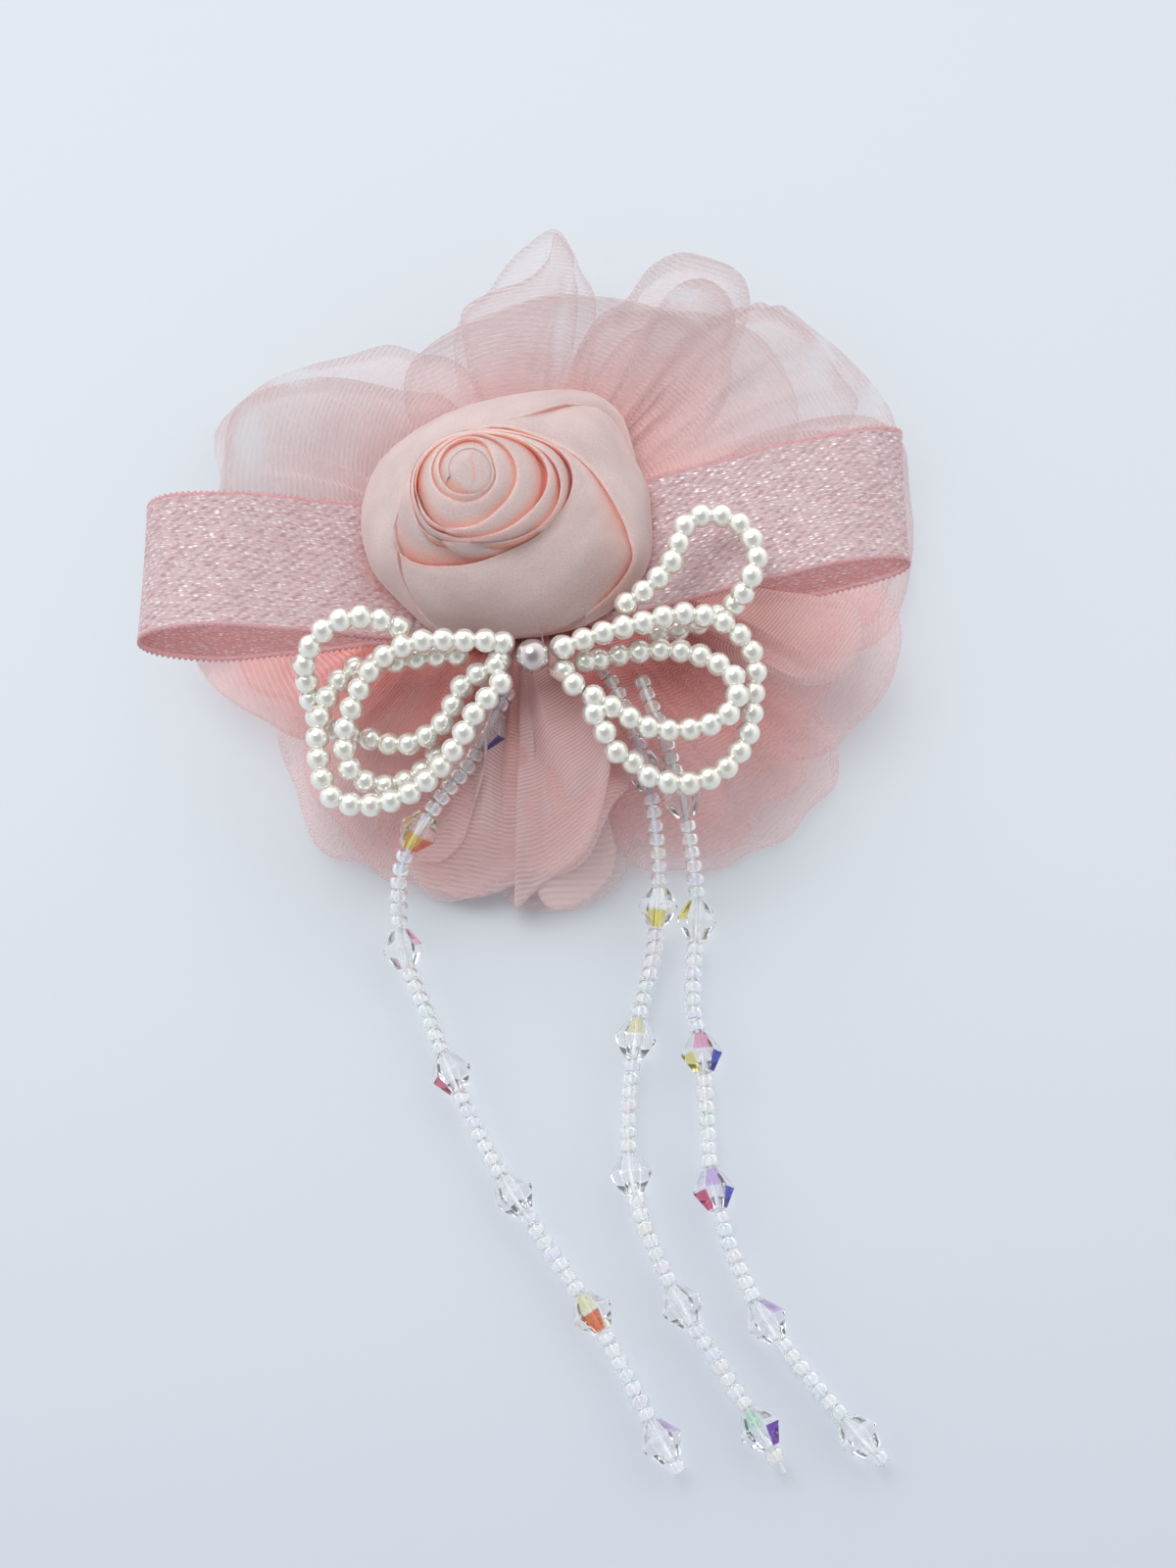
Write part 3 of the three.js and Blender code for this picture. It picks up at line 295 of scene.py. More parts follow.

# Organza petals: each is one to three strips folded double at the rim and gathered at the hub.
# A rim runs from one side to the other, as x, y and height above the felt. The rim of a further strip
# is given as pixels with heights above the table, or set in from the petal's rim by that much at its
# two ends. Sheer spots are pixels, with half their width and height, where little cloth lies.
# Shape of a strip: level lifts it, droop is how late it falls to its rim, fold is the radius of the
# rolled rim, swell is how far its middle puffs up, pleats and waves are counted along the rim, and
# overlap carries its ends round the hub, in degrees. Cloth of a strip: band is how dense the rolled
# rim is at its two ends and body the rest, rib turns the ribs, in degrees, and fine narrows them,
# deep and gather are how coral it is all over and near the hub, the coral all over being
# painted shade on the lower petals, fade is the share of the rim that thins out at each end, and a
# strip with shade casts a shadow.
PETALS = {
    "petal_top_left": {
        "rim": [(-50.5, 12.5, -9), (-50.5, 23, -11.5), (-45.5, 31, -12.5), (-39.5, 34.5, -12),
                (-32.5, 36.5, -10), (-24.5, 35.5, -7), (-18.5, 32, -4)],
        "strips": [
            {"pixels": [(222, 494, 9), (230, 446, 9), (254, 417, 9.5), (292, 397, 10), (345, 391, 11),
                        (384, 393, 12), (428, 405, 13.5)],
             "level": 1.0, "band": (1.0, 0.5), "rib": 22, "fold": 1.5, "shade": True}],
        "sheer": [(254, 450, 15, 34), (222, 480, 8, 30), (300, 384, 26, 10)],
        "band": (0.9, 0.1), "rib": 25, "body": 0.15, "deep": 0.0,
        "level": 0.0, "droop": 1.8, "fold": 1.2, "swell": 2.8, "pleats": 4, "waves": 1.5, "overlap": 12},
    "petal_top_tip": {
        "rim": [(-12, 38, -2), (-8.5, 42.5, -3), (-4, 51.5, -5), (2.5, 57.5, -6), (5.5, 53, -5.5),
                (7, 48, -4.5)],
        "strips": [
            {"pixels": [(472, 320, 13), (497, 304, 12.5), (538, 287, 12), (560, 264, 11), (568, 238, 10),
                        (584, 256, 9.5), (587, 284, 10.5)],
             "level": 0.5, "band": (0.9, 0.6), "overlap": 2, "shade": True}],
        "band": (0.1, 0.8), "rib": 8, "deep": 0.0,
        "level": 0.4, "droop": 1.2, "fold": 0.7, "swell": 1.5, "pleats": 2, "waves": 0.5, "overlap": 5},
    "petal_top_right": {
        "rim": [(13.5, 41.5, -4), (18.5, 50.5, -6), (23, 54, -8), (27.5, 52.5, -8), (32, 49, -8)],
        "strips": [
            {"pixels": [(668, 330, 14), (682, 302, 14), (702, 287, 13), (724, 285, 12), (742, 300, 12)],
             "level": 0.8, "band": (0.7, 0.9), "fold": 1.2, "shade": True}],
        "sheer": [(697, 301, 20, 9)],
        "band": (0.7, 0.9), "rib": 15, "body": 0.15, "deep": 0.0,
        "level": 0.7, "droop": 1.5, "fold": 2.2, "swell": 3.0, "pleats": 3, "waves": 0.8, "overlap": 7},
    "petal_right_top": {
        "rim": [(36, 43, -8), (39, 44.5, -10), (44, 41, -11.5), (49, 36, -12.5), (55.5, 29.5, -12.5),
                (57, 24, -10)],
        "strips": [
            {"pixels": [(757, 320, 11), (780, 309, 10.5), (803, 326, 10), (832, 352, 9), (856, 386, 8.5),
                        (871, 412, 8.5), (864, 432, 9)],
             "level": 1.0, "band": (0.9, 0.5), "overlap": 4, "fold": 1.3}],
        "sheer": [(893, 405, 9, 22), (838, 366, 12, 26)],
        "band": (0.9, 0.9), "rib": -4, "deep": 0.0,
        "level": 0.3, "droop": 1.8, "fold": 1.5, "swell": 3.0, "pleats": 6, "waves": 1.2, "overlap": 10},
    "petal_right": {
        "rim": [(57.5, 19, -9), (59, 12, -11), (59, 4.5, -12), (57.5, -6, -10)],
        "strips": [{"inset": (3, 3), "level": 0.8, "band": (0.7, 0.7)}],
        "band": (0.9, 0.9), "body": 0.2, "deep": 0.1,
        "level": 0.0, "droop": 1.7, "fold": 1.4, "swell": 1.0, "pleats": 4, "waves": 1.0, "overlap": 12},
    "petal_right_low": {
        "rim": [(55.5, -10.5, -8), (54.5, -17.5, -8), (52.5, -23.5, -9), (48, -28, -10)],
        "strips": [
            {"inset": (5, 8), "level": 0.8, "band": (0.6, 0.8)},
            {"pixels": [(872, 622, 15), (874, 650, 14.5), (858, 690, 13.5), (826, 704, 13),
                        (790, 690, 14)],
             "level": 1.3, "band": (0.3, 0.9), "overlap": 1, "fold": 1.0, "pleats": 7, "deep": 0.4,
             "body": 0.5, "fade": (0.1, 0.02), "shade": True}],
        "band": (0.8, 0.8), "rib": -20, "fine": 1.5, "deep": 0.6,
        "level": 0.4, "droop": 1.7, "fold": 1.7, "swell": 1.0, "pleats": 4, "waves": 1.0, "overlap": 15},
    "petal_low_right": {
        "rim": [(45.5, -31.5, -10), (44.5, -36, -12.5), (42, -40.5, -12.5), (37.5, -46, -12.5),
                (31.5, -48.5, -12.5), (24.5, -50, -12), (17, -51, -11)],
        "strips": [
            {"inset": (5, 3), "level": 0.6, "band": (0.8, 0.6)},
            {"inset": (12, 7), "level": 1.0, "band": (0.7, 0.9)}],
        "band": (0.7, 0.7), "rib": -6, "fine": 1.5, "deep": 0.6,
        "level": 0.2, "droop": 2.2, "fold": 1.4, "swell": 0.2, "pleats": 7, "waves": 2.0, "overlap": 6},
    "petal_bottom_tip": {
        "rim": [(12.5, -51.5, -11.5), (9, -55, -12.5), (5, -57.5, -12.5), (-2.5, -57, -12.5),
                (-6, -53, -12)],
        "strips": [
            {"pixels": [(628, 866, 5), (623, 902, 3.5), (600, 926, 3), (562, 929, 3), (544, 904, 3.5)],
             "level": 0.3, "band": (0.3, 0.3), "overlap": 1, "deep": 0.0, "body": 0.9, "gather": 0.1,
             "fade": (0.03, 0.03)}],
        "band": (0.5, 0.5), "deep": 0.15,
        "level": 0.0, "droop": 1.4, "fold": 0.8, "swell": 1.0, "pleats": 2, "waves": 1.0, "overlap": 5},
    "petal_bottom_front": {
        "rim": [(11.5, -44, 1.5), (7.5, -51, -3), (2, -53.5, -6), (-4, -54.5, -8), (-10.5, -56.5, -9.5),
                (-15.5, -56, -9.5), (-18.5, -53, -8)],
        "strips": [
            {"pixels": [(503, 725, 20), (496, 752, 18.5), (495, 782, 16), (486, 816, 13), (472, 858, 9),
                        (448, 878, 6.5), (424, 882, 5), (423, 900, 3.5), (445, 916, 3), (475, 920, 3),
                        (505, 911, 3.5), (530, 900, 5), (552, 880, 7)],
             "level": 0.7, "band": (1.4, 0.6), "overlap": 0, "deep": 0.1, "body": 0.8, "gather": 0.3,
             "pleats": 2, "fold": 0.8, "fade": (0.02, 0.1), "shade": True},
            {"pixels": [(562, 692, 22), (600, 720, 21), (618, 758, 19), (625, 784, 17), (614, 826, 13),
                        (588, 872, 9), (548, 910, 5), (526, 928, 3.5)],
             "level": 1.2, "band": (1.6, 1.2), "overlap": 0, "deep": 0.1, "body": 0.8, "gather": 0.3,
             "pleats": 3, "fold": 0.9, "rib": 18, "fade": (0.02, 0.06), "shade": True}],
        "band": (0.9, 0.7), "fine": 1.6, "deep": 0.6,
        "level": 1.2, "droop": 2.6, "fold": 1.4, "swell": 0.4, "pleats": 6, "waves": 1.2, "overlap": 8},
    "petal_low_left": {
        "rim": [(-21.5, -53, -11), (-26, -50, -12.5), (-30.5, -48, -12.5), (-35.5, -41, -12.5),
                (-38.5, -34, -12), (-40, -29.5, -10)],
        "strips": [
            {"inset": (2, 4), "level": 0.6, "band": (0.8, 0.7)},
            {"inset": (7, 10), "level": 0.9, "band": (0.6, 0.6)}],
        "band": (0.8, 0.8), "rib": 75, "fine": 1.5, "deep": 0.6,
        "level": 0.2, "droop": 2.2, "fold": 1.4, "swell": 0.3, "pleats": 6, "waves": 1.5, "overlap": 14},
    "petal_left": {
        "rim": [(-42, -27, -9), (-46.5, -23, -10), (-50.5, -19.5, -11), (-53, -16.5, -9)],
        "strips": [{"inset": (4, 4), "level": 0.6, "band": (0.7, 0.7)}],
        "band": (0.8, 0.8), "body": 0.45, "deep": 0.6,
        "level": 0.0, "droop": 1.5, "fold": 1.3, "swell": 0.6, "pleats": 3, "waves": 1.0, "overlap": 13},
    "petal_top_front": {
        "rim": [(27, 30.5, 7), (21, 32, 12), (13.5, 32.5, 14.5), (7.5, 32.5, 15), (2, 32.5, 15),
                (-5.5, 30.5, 14), (-11.5, 29, 11), (-17, 27, 6)],
        "strips": [
            {"pixels": [(640, 316, 25), (690, 322, 23), (735, 334, 19), (775, 352, 16), (800, 385, 14),
                        (812, 425, 13)],
             "level": 0.6, "band": (0.5, 0.2), "rib": -6, "overlap": 8, "pleats": 7, "fold": 1.0,
             "deep": 0.1}],
        "sheer": [(575, 350, 11, 34)],
        "band": (0.9, 0.9), "deep": 0.0,
        "level": 1.3, "droop": 1.8, "fold": 1.6, "swell": 0.5, "pleats": 4, "waves": 0.8, "overlap": 14},
}

# Shape of all petals. The carried ends of a rim are shares of the overlap and of the reach, and a drop.
RIM_ENDS = [(0.5, 0.95, 1.0), (1.0, 0.8, 2.5), (1.25, 0.55, 3.5)]
INSET_SWAY = (0.4, 2.1)  # share of the inset, and radians from point to point
INSET_RISE = 0.12
GATHER_RADIUS = 9
GATHER_LIFT = 0.5
SWELL_LATENESS = 1.5
PETAL_COLUMNS = 170
PETAL_ROWS = 34
FOLD_ROWS = 9
TABLE_CLEARANCE = 0.15
TABLE_SOFTNESS = 0.5  # height over which the cloth settles on the table
PLEAT_HEIGHT = 1.3
PLEAT_LAP = 0.86  # share of a pleat that rises slowly, before it falls back
LAYER_GAP = (0.2, 0.5)  # half the space between a strip's two layers, at its ends and more in the middle
PLEAT_SPREAD = (0.05, 1.7)  # how uneven pleats are along the rim, and in how many waves
PLEAT_SWAY = (1.5, 2)  # how far they turn on the way to the fold, and how fast, in radians
WAVE_HEIGHT = 0.7
FOLD_WAVE = (0.3, 1.3)  # share of the fold's radius, and how often for each wave of the rim
RIM_SWAYS = [(0.7, 1.7), (0.4, 3.9)]  # reach, and how often for each wave of the rim
WRINKLE_HEIGHT = 0.16
WRINKLE_LENGTHS = (6, 2.3)  # of the first wave, and more for each further one
WRINKLE_TURN = 2.4
CREASE_SHARPNESS = 2.5
CREASE_SPILL = 0.06
CREASE_FADE = (0.55, 0.42)  # where it starts on the way to the fold, and over how much of it

# Cloth of all petals: where it thins out, rolls, gathers and changes to the lower petals' tones of painted
# light and shade, how its ribs run, and how dense and how coral it is
SIDE_FADE = 0.16
LOW_PAINTED_LIGHT_REACH = 15
BAND_WIDTH = 2.4
GATHER_REACH = (14, 46)
RIB_REACH = 40
RIB_BEND = 0.3
BAND_DENSITY = 0.42
CREASE_DENSITY = 0.32
GATHER_DENSITY = 0.2
STEEP_DENSITY = 0.04
GATHER_CORAL = 0.75
ROLL_PALENESS = 0.8
SHEER_OPENNESS = 0.65

# Colours, as display values from 0 to 255
ORGANZA_LIGHT = (212, 187, 187)
ORGANZA_DEEP = (246, 190, 184)
# Tones of the lower petals: a lighter pale as painted light against the shadows cast on them, and a darker
# coral as painted shade
ORGANZA_LOW_PAINTED_LIGHT = (240, 213, 212)
ORGANZA_LOW_PAINTED_SHADE = (232, 142, 133)
# Painted highlight on the organza's ribs
ORGANZA_RIB_HIGHLIGHT = (232, 206, 205)
SATIN_FACE = (230, 211, 208)
SATIN_SHADE = (218, 197, 194)
SATIN_GRAIN = (192, 160, 155)
# Painted coral shade for the rose's creases and the depths between its wraps
SATIN_CREASE_SHADE = (244, 158, 136)
RIBBON_ROSE = (206, 184, 187)
RIBBON_DEEP = (182, 152, 157)
RIBBON_SILVER = (255, 250, 250)
RIBBON_EDGE = (204, 156, 160)
# Darker coral of the ribbon's inner side: painted shade inside the loops
RIBBON_INSIDE_SHADE = (176, 120, 120)
PEARL_IVORY = (250, 249, 240)
PEARL_CREAM = (248, 244, 230)
PEARL_PINK = (196, 184, 182)
SEED_CLEAR = (253, 254, 255)
CRYSTAL_CLEAR = (254, 254, 255)
STEEL_GREY = (188, 190, 194)
FELT_PINK = (226, 204, 202)
THREAD_WHITE = (236, 239, 242)
FELT_DARK = (212, 186, 184)
THREAD_GREY = (206, 212, 220)
WIRE_GREY = (150, 153, 158)
PEARL_CLOUD = (244, 241, 238)

# Casts of the seed beads, as shares of red, green and blue, and how many beads have each
SEED_CASTS = [
    (1, 1, 1), (0.96, 0.94, 1), (0.93, 0.97, 1), (0.95, 1, 0.97), (1, 0.98, 0.92), (1, 0.95, 0.97)]
SEED_CAST_SHARES = [0.5, 0.15, 0.11, 0.08, 0.08, 0.08]

# Surfaces: how metallic the pearls are, and the roughness and clearness of the glass
PEARL_METAL = 0.5
PINK_PEARL_METAL = 0.9
SEED_GLASS = (0.03, 0.8)
CRYSTAL_GLASS = (0.0, 0.94)

# Organza: the pitch of its ribs, what ribs, slubs, coral parts and dense parts add to its cover, and how
# far a rib takes on the painted highlight colour
RIB_PITCH = 0.78
RIB_COVER = 0.26
SLUB_COVER = (0.04, 0.08)
CORAL_COVER = 0.08
DENSE_COVER = 0.45
RIB_HIGHLIGHT_SHARE = 0.6

# Ribbon: the slant of its rows and of its twill, and how bright its flecks are on the inner side of the
# loops, dimmed there with the painted shade
RIBBON_ROW_TURN = math.radians(7)
RIBBON_TWILL_TURN = math.radians(38)
RIBBON_SHADED_GLEAM = 0.35

# Table and light, with lengths in metres
# The table's colour darkens from the back to the front: painted shade, where less light falls
TABLE_BACK_LIT = (226, 232, 238)
TABLE_FRONT_SHADED = (213, 219, 230)
TABLE_SHADE_SPAN = (-0.17, -0.03)
TABLE_HALF_SIDE = 8
TABLE_DROP = 0.00005
KEY_PLACE = np.array([-0.3, 0.28, 0.94])
KEY_TARGET = np.array([0.0, -0.02, 0.0])
KEY_POWER = 3.5
KEY_SIZE = 0.8
SKY_COLOUR = (248, 250, 252)
SKY_FRONT_WAY = (0.1, -0.98, 0.17)
SKY_SLOPE = 0.32
SKY_STRENGTH = 1.02
ROOM_WAY = (0.0, -0.36, 0.93)
ROOM_SPAN = (0.55, 0.92)
ROOM_SHARE = 0.38
SHEER_LAYERS = 40  # how many sheer surfaces a ray may pass


def add_object(name, data):
    thing = bpy.data.objects.new(name, data)
    bpy.context.scene.collection.objects.link(thing)
    return thing


# Camera

def point_at_pixel(u, v, height):
    """The point at that height above the table that shows at a pixel of the photograph."""
    right = (u - IMAGE_WIDTH / 2) / FOCAL_PIXELS
    up = (IMAGE_HEIGHT / 2 - v) / FOCAL_PIXELS
    ray = np.array([right, 0, 0]) + up * VIEW_UP - VIEW_WAY
    return EYE + ray * (height - EYE[2]) / ray[2]


def pixel_at_point(points):
    """The pixels of the photograph at which points show."""
    offset = points - EYE
    forward = -(offset @ VIEW_WAY)
    up = offset @ VIEW_UP
    u = IMAGE_WIDTH / 2 + FOCAL_PIXELS * offset[..., 0] / forward
    v = IMAGE_HEIGHT / 2 - FOCAL_PIXELS * up / forward
    return np.stack([u, v], axis=-1)


def add_camera():
    data = bpy.data.cameras.new("camera")
    data.sensor_width = SENSOR
    data.lens = FOCAL_PIXELS * SENSOR / IMAGE_HEIGHT
    data.clip_start = 0.01
    data.clip_end = 20
    camera = add_object("camera", data)
    camera.location = EYE * MM
    camera.rotation_euler = (math.pi / 2 - VIEW_ELEVATION, 0, 0)
    bpy.context.scene.camera = camera


# Meshes

def add_mesh(name, points, faces, uv=None, values=None, smooth=True):
    """A mesh object from points in millimetres, with a uv pair and named values for each point."""
    mesh = bpy.data.meshes.new(name)
    points = np.asarray(points, float) * MM
    mesh.from_pydata(points.tolist(), [], [list(map(int, face)) for face in faces])
    corner_points = np.empty(len(mesh.loops), dtype=np.int32)
    mesh.loops.foreach_get("vertex_index", corner_points)
    if uv is not None:
        layer = mesh.uv_layers.new(name="UVMap")
        layer.data.foreach_set("uv", np.asarray(uv, np.float32)[corner_points].ravel())
    for key, data in (values or {}).items():
        attribute = mesh.attributes.new(key, "FLOAT", "POINT")
        attribute.data.foreach_set("value", np.asarray(data, np.float32).ravel())
    mesh.polygons.foreach_set("use_smooth", np.full(len(mesh.polygons), smooth))
    mesh.update()
    return add_object(name, mesh)


def grid_faces(rows, columns, wrap_rows=False, wrap_columns=False):
    row_steps = np.arange(rows if wrap_rows else rows - 1)
    column_steps = np.arange(columns if wrap_columns else columns - 1)
    low, left = np.meshgrid(row_steps, column_steps, indexing="ij")
    high = (low + 1) % rows
    right = (left + 1) % columns
    corners = [low * columns + left, low * columns + right, high * columns + right, high * columns + left]
    return np.stack(corners, axis=-1).reshape(-1, 4)


def add_grids(name, parts, wrap_rows=False):
    """One mesh from several grids of points, each with its uv and named values."""
    points, faces, uvs = [], [], []
    start = 0
    for grid, uv, _ in parts:
        points.append(grid.reshape(-1, 3))
        faces.append(grid_faces(*grid.shape[:2], wrap_rows) + start)
        uvs.append(uv.reshape(-1, 2))
        start += len(points[-1])
    values = {key: np.concatenate([part[2][key].ravel() for part in parts]) for key in parts[0][2]}
    return add_mesh(name, np.vstack(points), np.vstack(faces), np.vstack(uvs), values)


def sheet_area(grid):
    """Area of a grid of points, as the sum of its triangles."""
    a, b, c, d = grid[:-1, :-1], grid[:-1, 1:], grid[1:, 1:], grid[1:, :-1]
    first = np.linalg.norm(np.cross(b - a, c - a), axis=-1)
    second = np.linalg.norm(np.cross(c - a, d - a), axis=-1)
    return float((first + second).sum() / 2)


def line_lengths(grid, axis):
    """Lengths of the lines of a grid of points that run along one of its axes."""
    return np.linalg.norm(np.diff(grid, axis=axis), axis=-1).sum(axis=axis)


def unit(vectors):
    return vectors / np.maximum(np.linalg.norm(vectors, axis=-1, keepdims=True), 1e-9)


def smooth_step(share):
    share = np.clip(share, 0, 1)
    return share * share * (3 - 2 * share)


def polyline_lengths(points):
    steps = np.linalg.norm(np.diff(points, axis=0), axis=-1)
    return np.concatenate([[0], np.cumsum(steps)])


class Route:
    """A smooth curve through points, read by distance along it."""

    def __init__(self, points, samples_per_span=24):
        points = np.asarray(points, float)
        padded = np.vstack([2 * points[0] - points[1], points, 2 * points[-1] - points[-2]])
        fine = [self.span(*padded[i:i + 4], samples_per_span) for i in range(len(points) - 1)]
        self.points = np.vstack([*fine, points[-1:]])
        self.places = polyline_lengths(self.points)
        self.length = self.places[-1]

    @staticmethod
    def span(before, start, end, after, samples):
        step0, step1, step2 = (
            np.linalg.norm(b - a) ** 0.5 for a, b in ((before, start), (start, end), (end, after)))
        leave = step1 * ((start - before) / step0 - (end - before) / (step0 + step1) + (end - start) / step1)
        arrive = step1 * ((end - start) / step1 - (after - start) / (step1 + step2) + (after - end) / step2)
        t = np.linspace(0, 1, samples, endpoint=False)[:, None]
        square = -3 * start + 3 * end - 2 * leave - arrive
        cube = 2 * start - 2 * end + leave + arrive
        return start + leave * t + square * t ** 2 + cube * t ** 3

    def at(self, places):
        places = np.clip(places, 0, self.length)
        return np.stack([np.interp(places, self.places, self.points[:, i]) for i in range(3)], axis=-1)

    def direction(self, place, reach):
        return unit(self.at(place + reach) - self.at(place - reach))


def frames_along(points):
    """Direction, side and normal along a line of points, turning as little as they can."""
    along = unit(np.gradient(points, axis=0))
    side = np.empty_like(points)
    guide = np.array([0.0, 0.0, 1.0])
    for i, forward in enumerate(along):
        guide = unit(guide - forward * guide.dot(forward))
        side[i] = guide
    return along, side, np.cross(along, side)


def tube_grid(points, radius, sides):
    _, side, normal = frames_along(points)
    angles = np.linspace(0, 2 * math.pi, sides, endpoint=False)
    ring = np.cos(angles)[None, :, None] * side[:, None] + np.sin(angles)[None, :, None] * normal[:, None]
    return points[:, None] + radius * ring


def turn_with(forward, across, spin):
    """A rotation that takes +Z to one direction and +X to another, after a spin about +Z."""
    turned = math.cos(spin) * across + math.sin(spin) * np.cross(forward, across)
    return np.stack([turned, np.cross(forward, turned), forward], axis=1)


def turn_to(direction, spin):
    """A rotation that takes +Z to a direction, after a spin about +Z."""
    forward = unit(direction)
    helper = np.array([1.0, 0, 0]) if abs(forward[0]) < 0.9 else np.array([0, 1.0, 0])
    return turn_with(forward, unit(np.cross(helper, forward)), spin)


def lathe(profile, sides):
    """Points and faces of a closed profile (radius, height) turned about +Z."""
    profile = np.asarray(profile, float)
    angles = np.linspace(0, 2 * math.pi, sides, endpoint=False)
    radius = profile[:, :1]
    height = np.repeat(profile[:, 1:], sides, axis=1)
    points = np.stack([radius * np.cos(angles), radius * np.sin(angles), height], axis=-1)
    return points.reshape(-1, 3), grid_faces(len(profile), sides, wrap_rows=True, wrap_columns=True)[:, ::-1]


def merged(parts):
    """One list of points, faces and values from several (points, faces, value) parts."""
    points, faces, values = [], [], []
    start = 0
    for part_points, part_faces, value in parts:
        points.append(part_points)
        faces.extend((np.asarray(part_faces) + start).tolist())
        values.append(np.full(len(part_points), value))
        start += len(part_points)
    return np.vstack(points), faces, np.concatenate(values)


def dress(piece, material, body=FLOWER_BODY, replaced=()):
    piece.data.materials.clear()
    piece.data.materials.append(material)
    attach(piece, body)
    if replaced:
        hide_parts(*replaced)
    return piece


# Material nodes

def linear(colour):
    """A colour written in 0 to 255 display values, as the shader takes it."""
    share = np.asarray(colour, float) / 255
    low = share / 12.92
    high = ((share + 0.055) / 1.055) ** 2.4
    return (*np.where(share <= 0.04045, low, high), 1.0)


class Nodes:
    """Short calls for the nodes of a material or a sky."""

    def __init__(self, owner):
        owner.use_nodes = True
        self.tree = owner.node_tree

    def node(self, kind, inputs=None, **settings):
        node = self.tree.nodes.new(kind)
        for key, value in settings.items():
            setattr(node, key, value)
        for key, value in (inputs or {}).items():
            self.feed(node.inputs[key], value)
        return node

    def feed(self, socket, value):
        if isinstance(value, bpy.types.NodeSocket):
            self.tree.links.new(value, socket)
        else:
            socket.default_value = value

    def math(self, operation, first, second=0.0, clamp=False):
        inputs = {0: first, 1: second}
        return self.node("ShaderNodeMath", inputs, operation=operation, use_clamp=clamp).outputs[0]

    def span(self, value, low, high, to_low=0.0, to_high=1.0):
        inputs = {"Value": value, "From Min": low, "From Max": high, "To Min": to_low, "To Max": to_high}
        return self.node("ShaderNodeMapRange", inputs).outputs["Result"]

    def times(self, first, second):
        return self.math("MULTIPLY", first, second)

    def plus(self, first, second):
        return self.math("ADD", first, second)


class Shader(Nodes):
    """A material with one principled surface."""

    def __init__(self, name, **constants):
        self.material = bpy.data.materials.new(name)
        super().__init__(self.material)
        self.surface = self.tree.nodes["Principled BSDF"]
        self.set(**constants)

    def mix(self, share, first, second):
        node = self.node("ShaderNodeMix", data_type="RGBA")
        self.feed(node.inputs["Factor"], share)
        self.feed(node.inputs[6], first)
        self.feed(node.inputs[7], second)
        return node.outputs[2]

    def value(self, name):
        return self.node("ShaderNodeAttribute", attribute_name=name).outputs["Fac"]

    def colour_value(self, name):
        return self.node("ShaderNodeAttribute", attribute_name=name).outputs["Color"]

    def uv(self):
        return self.node("ShaderNodeUVMap", uv_map="UVMap").outputs["UV"]

    def object_place(self):
        return self.node("ShaderNodeTexCoord").outputs["Object"]

    def split(self, vector):
        return self.node("ShaderNodeSeparateXYZ", {0: vector}).outputs

    def scaled(self, vector, scale, turn=0.0):
        inputs = {"Vector": vector, "Scale": scale, "Rotation": (0, 0, turn)}
        return self.node("ShaderNodeMapping", inputs, vector_type="POINT").outputs["Vector"]

    def noise(self, vector, scale, detail=2.0, roughness=0.5):
        inputs = {"Vector": vector, "Scale": scale, "Detail": detail, "Roughness": roughness}
        return self.node("ShaderNodeTexNoise", inputs).outputs["Fac"]

    def wave(self, value, period):
        """A wave between 0 and 1 with that period."""
        angle = self.times(value, 2 * math.pi / period)
        return self.plus(self.times(self.math("SINE", angle), 0.5), 0.5)

    def bump(self, height, distance, strength=1.0):
        inputs = {"Height": height, "Distance": distance * MM, "Strength": strength}
        self.feed(self.surface.inputs["Normal"], self.node("ShaderNodeBump", inputs).outputs["Normal"])

    def soften(self, radius):
        """Light that enters the surface spreads by these shares of red, green and blue."""
        self.surface.subsurface_method = "BURLEY"
        self.surface.inputs["Subsurface Radius"].default_value = radius

    def set(self, **values):
        for key, value in values.items():
            self.feed(self.surface.inputs[key.replace("_", " ")], value)


# Materials

def organza_material():
    """Sheer ribbed cloth: ribs run along the first uv axis, and uv counts in millimetres. The ribs take a
    painted highlight, and the lower petals take tones of painted light and shade.
    """
    shader = Shader("organza", Roughness=0.6, Sheen_Weight=0.2, Sheen_Roughness=0.5, Specular_IOR_Level=0.25)
    uv = shader.uv()
    _, y, _ = shader.split(uv)
    drift = shader.noise(shader.scaled(uv, (0.05, 0.03, 1)), 1.0, 1.0)
    line = shader.plus(y, shader.times(drift, 1.2))
    rib = shader.span(shader.wave(line, RIB_PITCH), 0.25, 0.8)
    fade = shader.span(shader.noise(shader.scaled(uv, (0.08, 0.08, 1)), 1.0, 2.0), 0.3, 0.7, 0.5, 1.0)
    slub = shader.noise(shader.scaled(uv, (0.1, 1.2, 1)), 1.0, 2.0)
    dense = shader.value("dense")
    deep = shader.value("deep")
    ribbed = shader.times(shader.times(rib, fade), shader.value("ribbed"))
    cover = shader.plus(shader.times(ribbed, RIB_COVER), shader.span(slub, 0.3, 0.7, *SLUB_COVER))
    cover = shader.plus(cover, shader.times(deep, CORAL_COVER))
    cover = shader.plus(cover, shader.times(dense, DENSE_COVER))
    cover = shader.math("MULTIPLY", cover, shader.value("cover"), clamp=True)
    upper = shader.mix(deep, linear(ORGANZA_LIGHT), linear(ORGANZA_DEEP))
    # The lower petals take the tones with painted light and shade
    lower_painted_tone = shader.mix(deep, linear(ORGANZA_LOW_PAINTED_LIGHT), linear(ORGANZA_LOW_PAINTED_SHADE))
    tone = shader.mix(shader.value("low"), upper, lower_painted_tone)
    # The ribs on the top layer take a painted highlight
    tone = shader.mix(shader.times(ribbed, RIB_HIGHLIGHT_SHARE), tone, linear(ORGANZA_RIB_HIGHLIGHT))
    shader.set(Base_Color=tone, Alpha=cover)
    shader.bump(slub, 0.03, 0.4)
    return shader.material


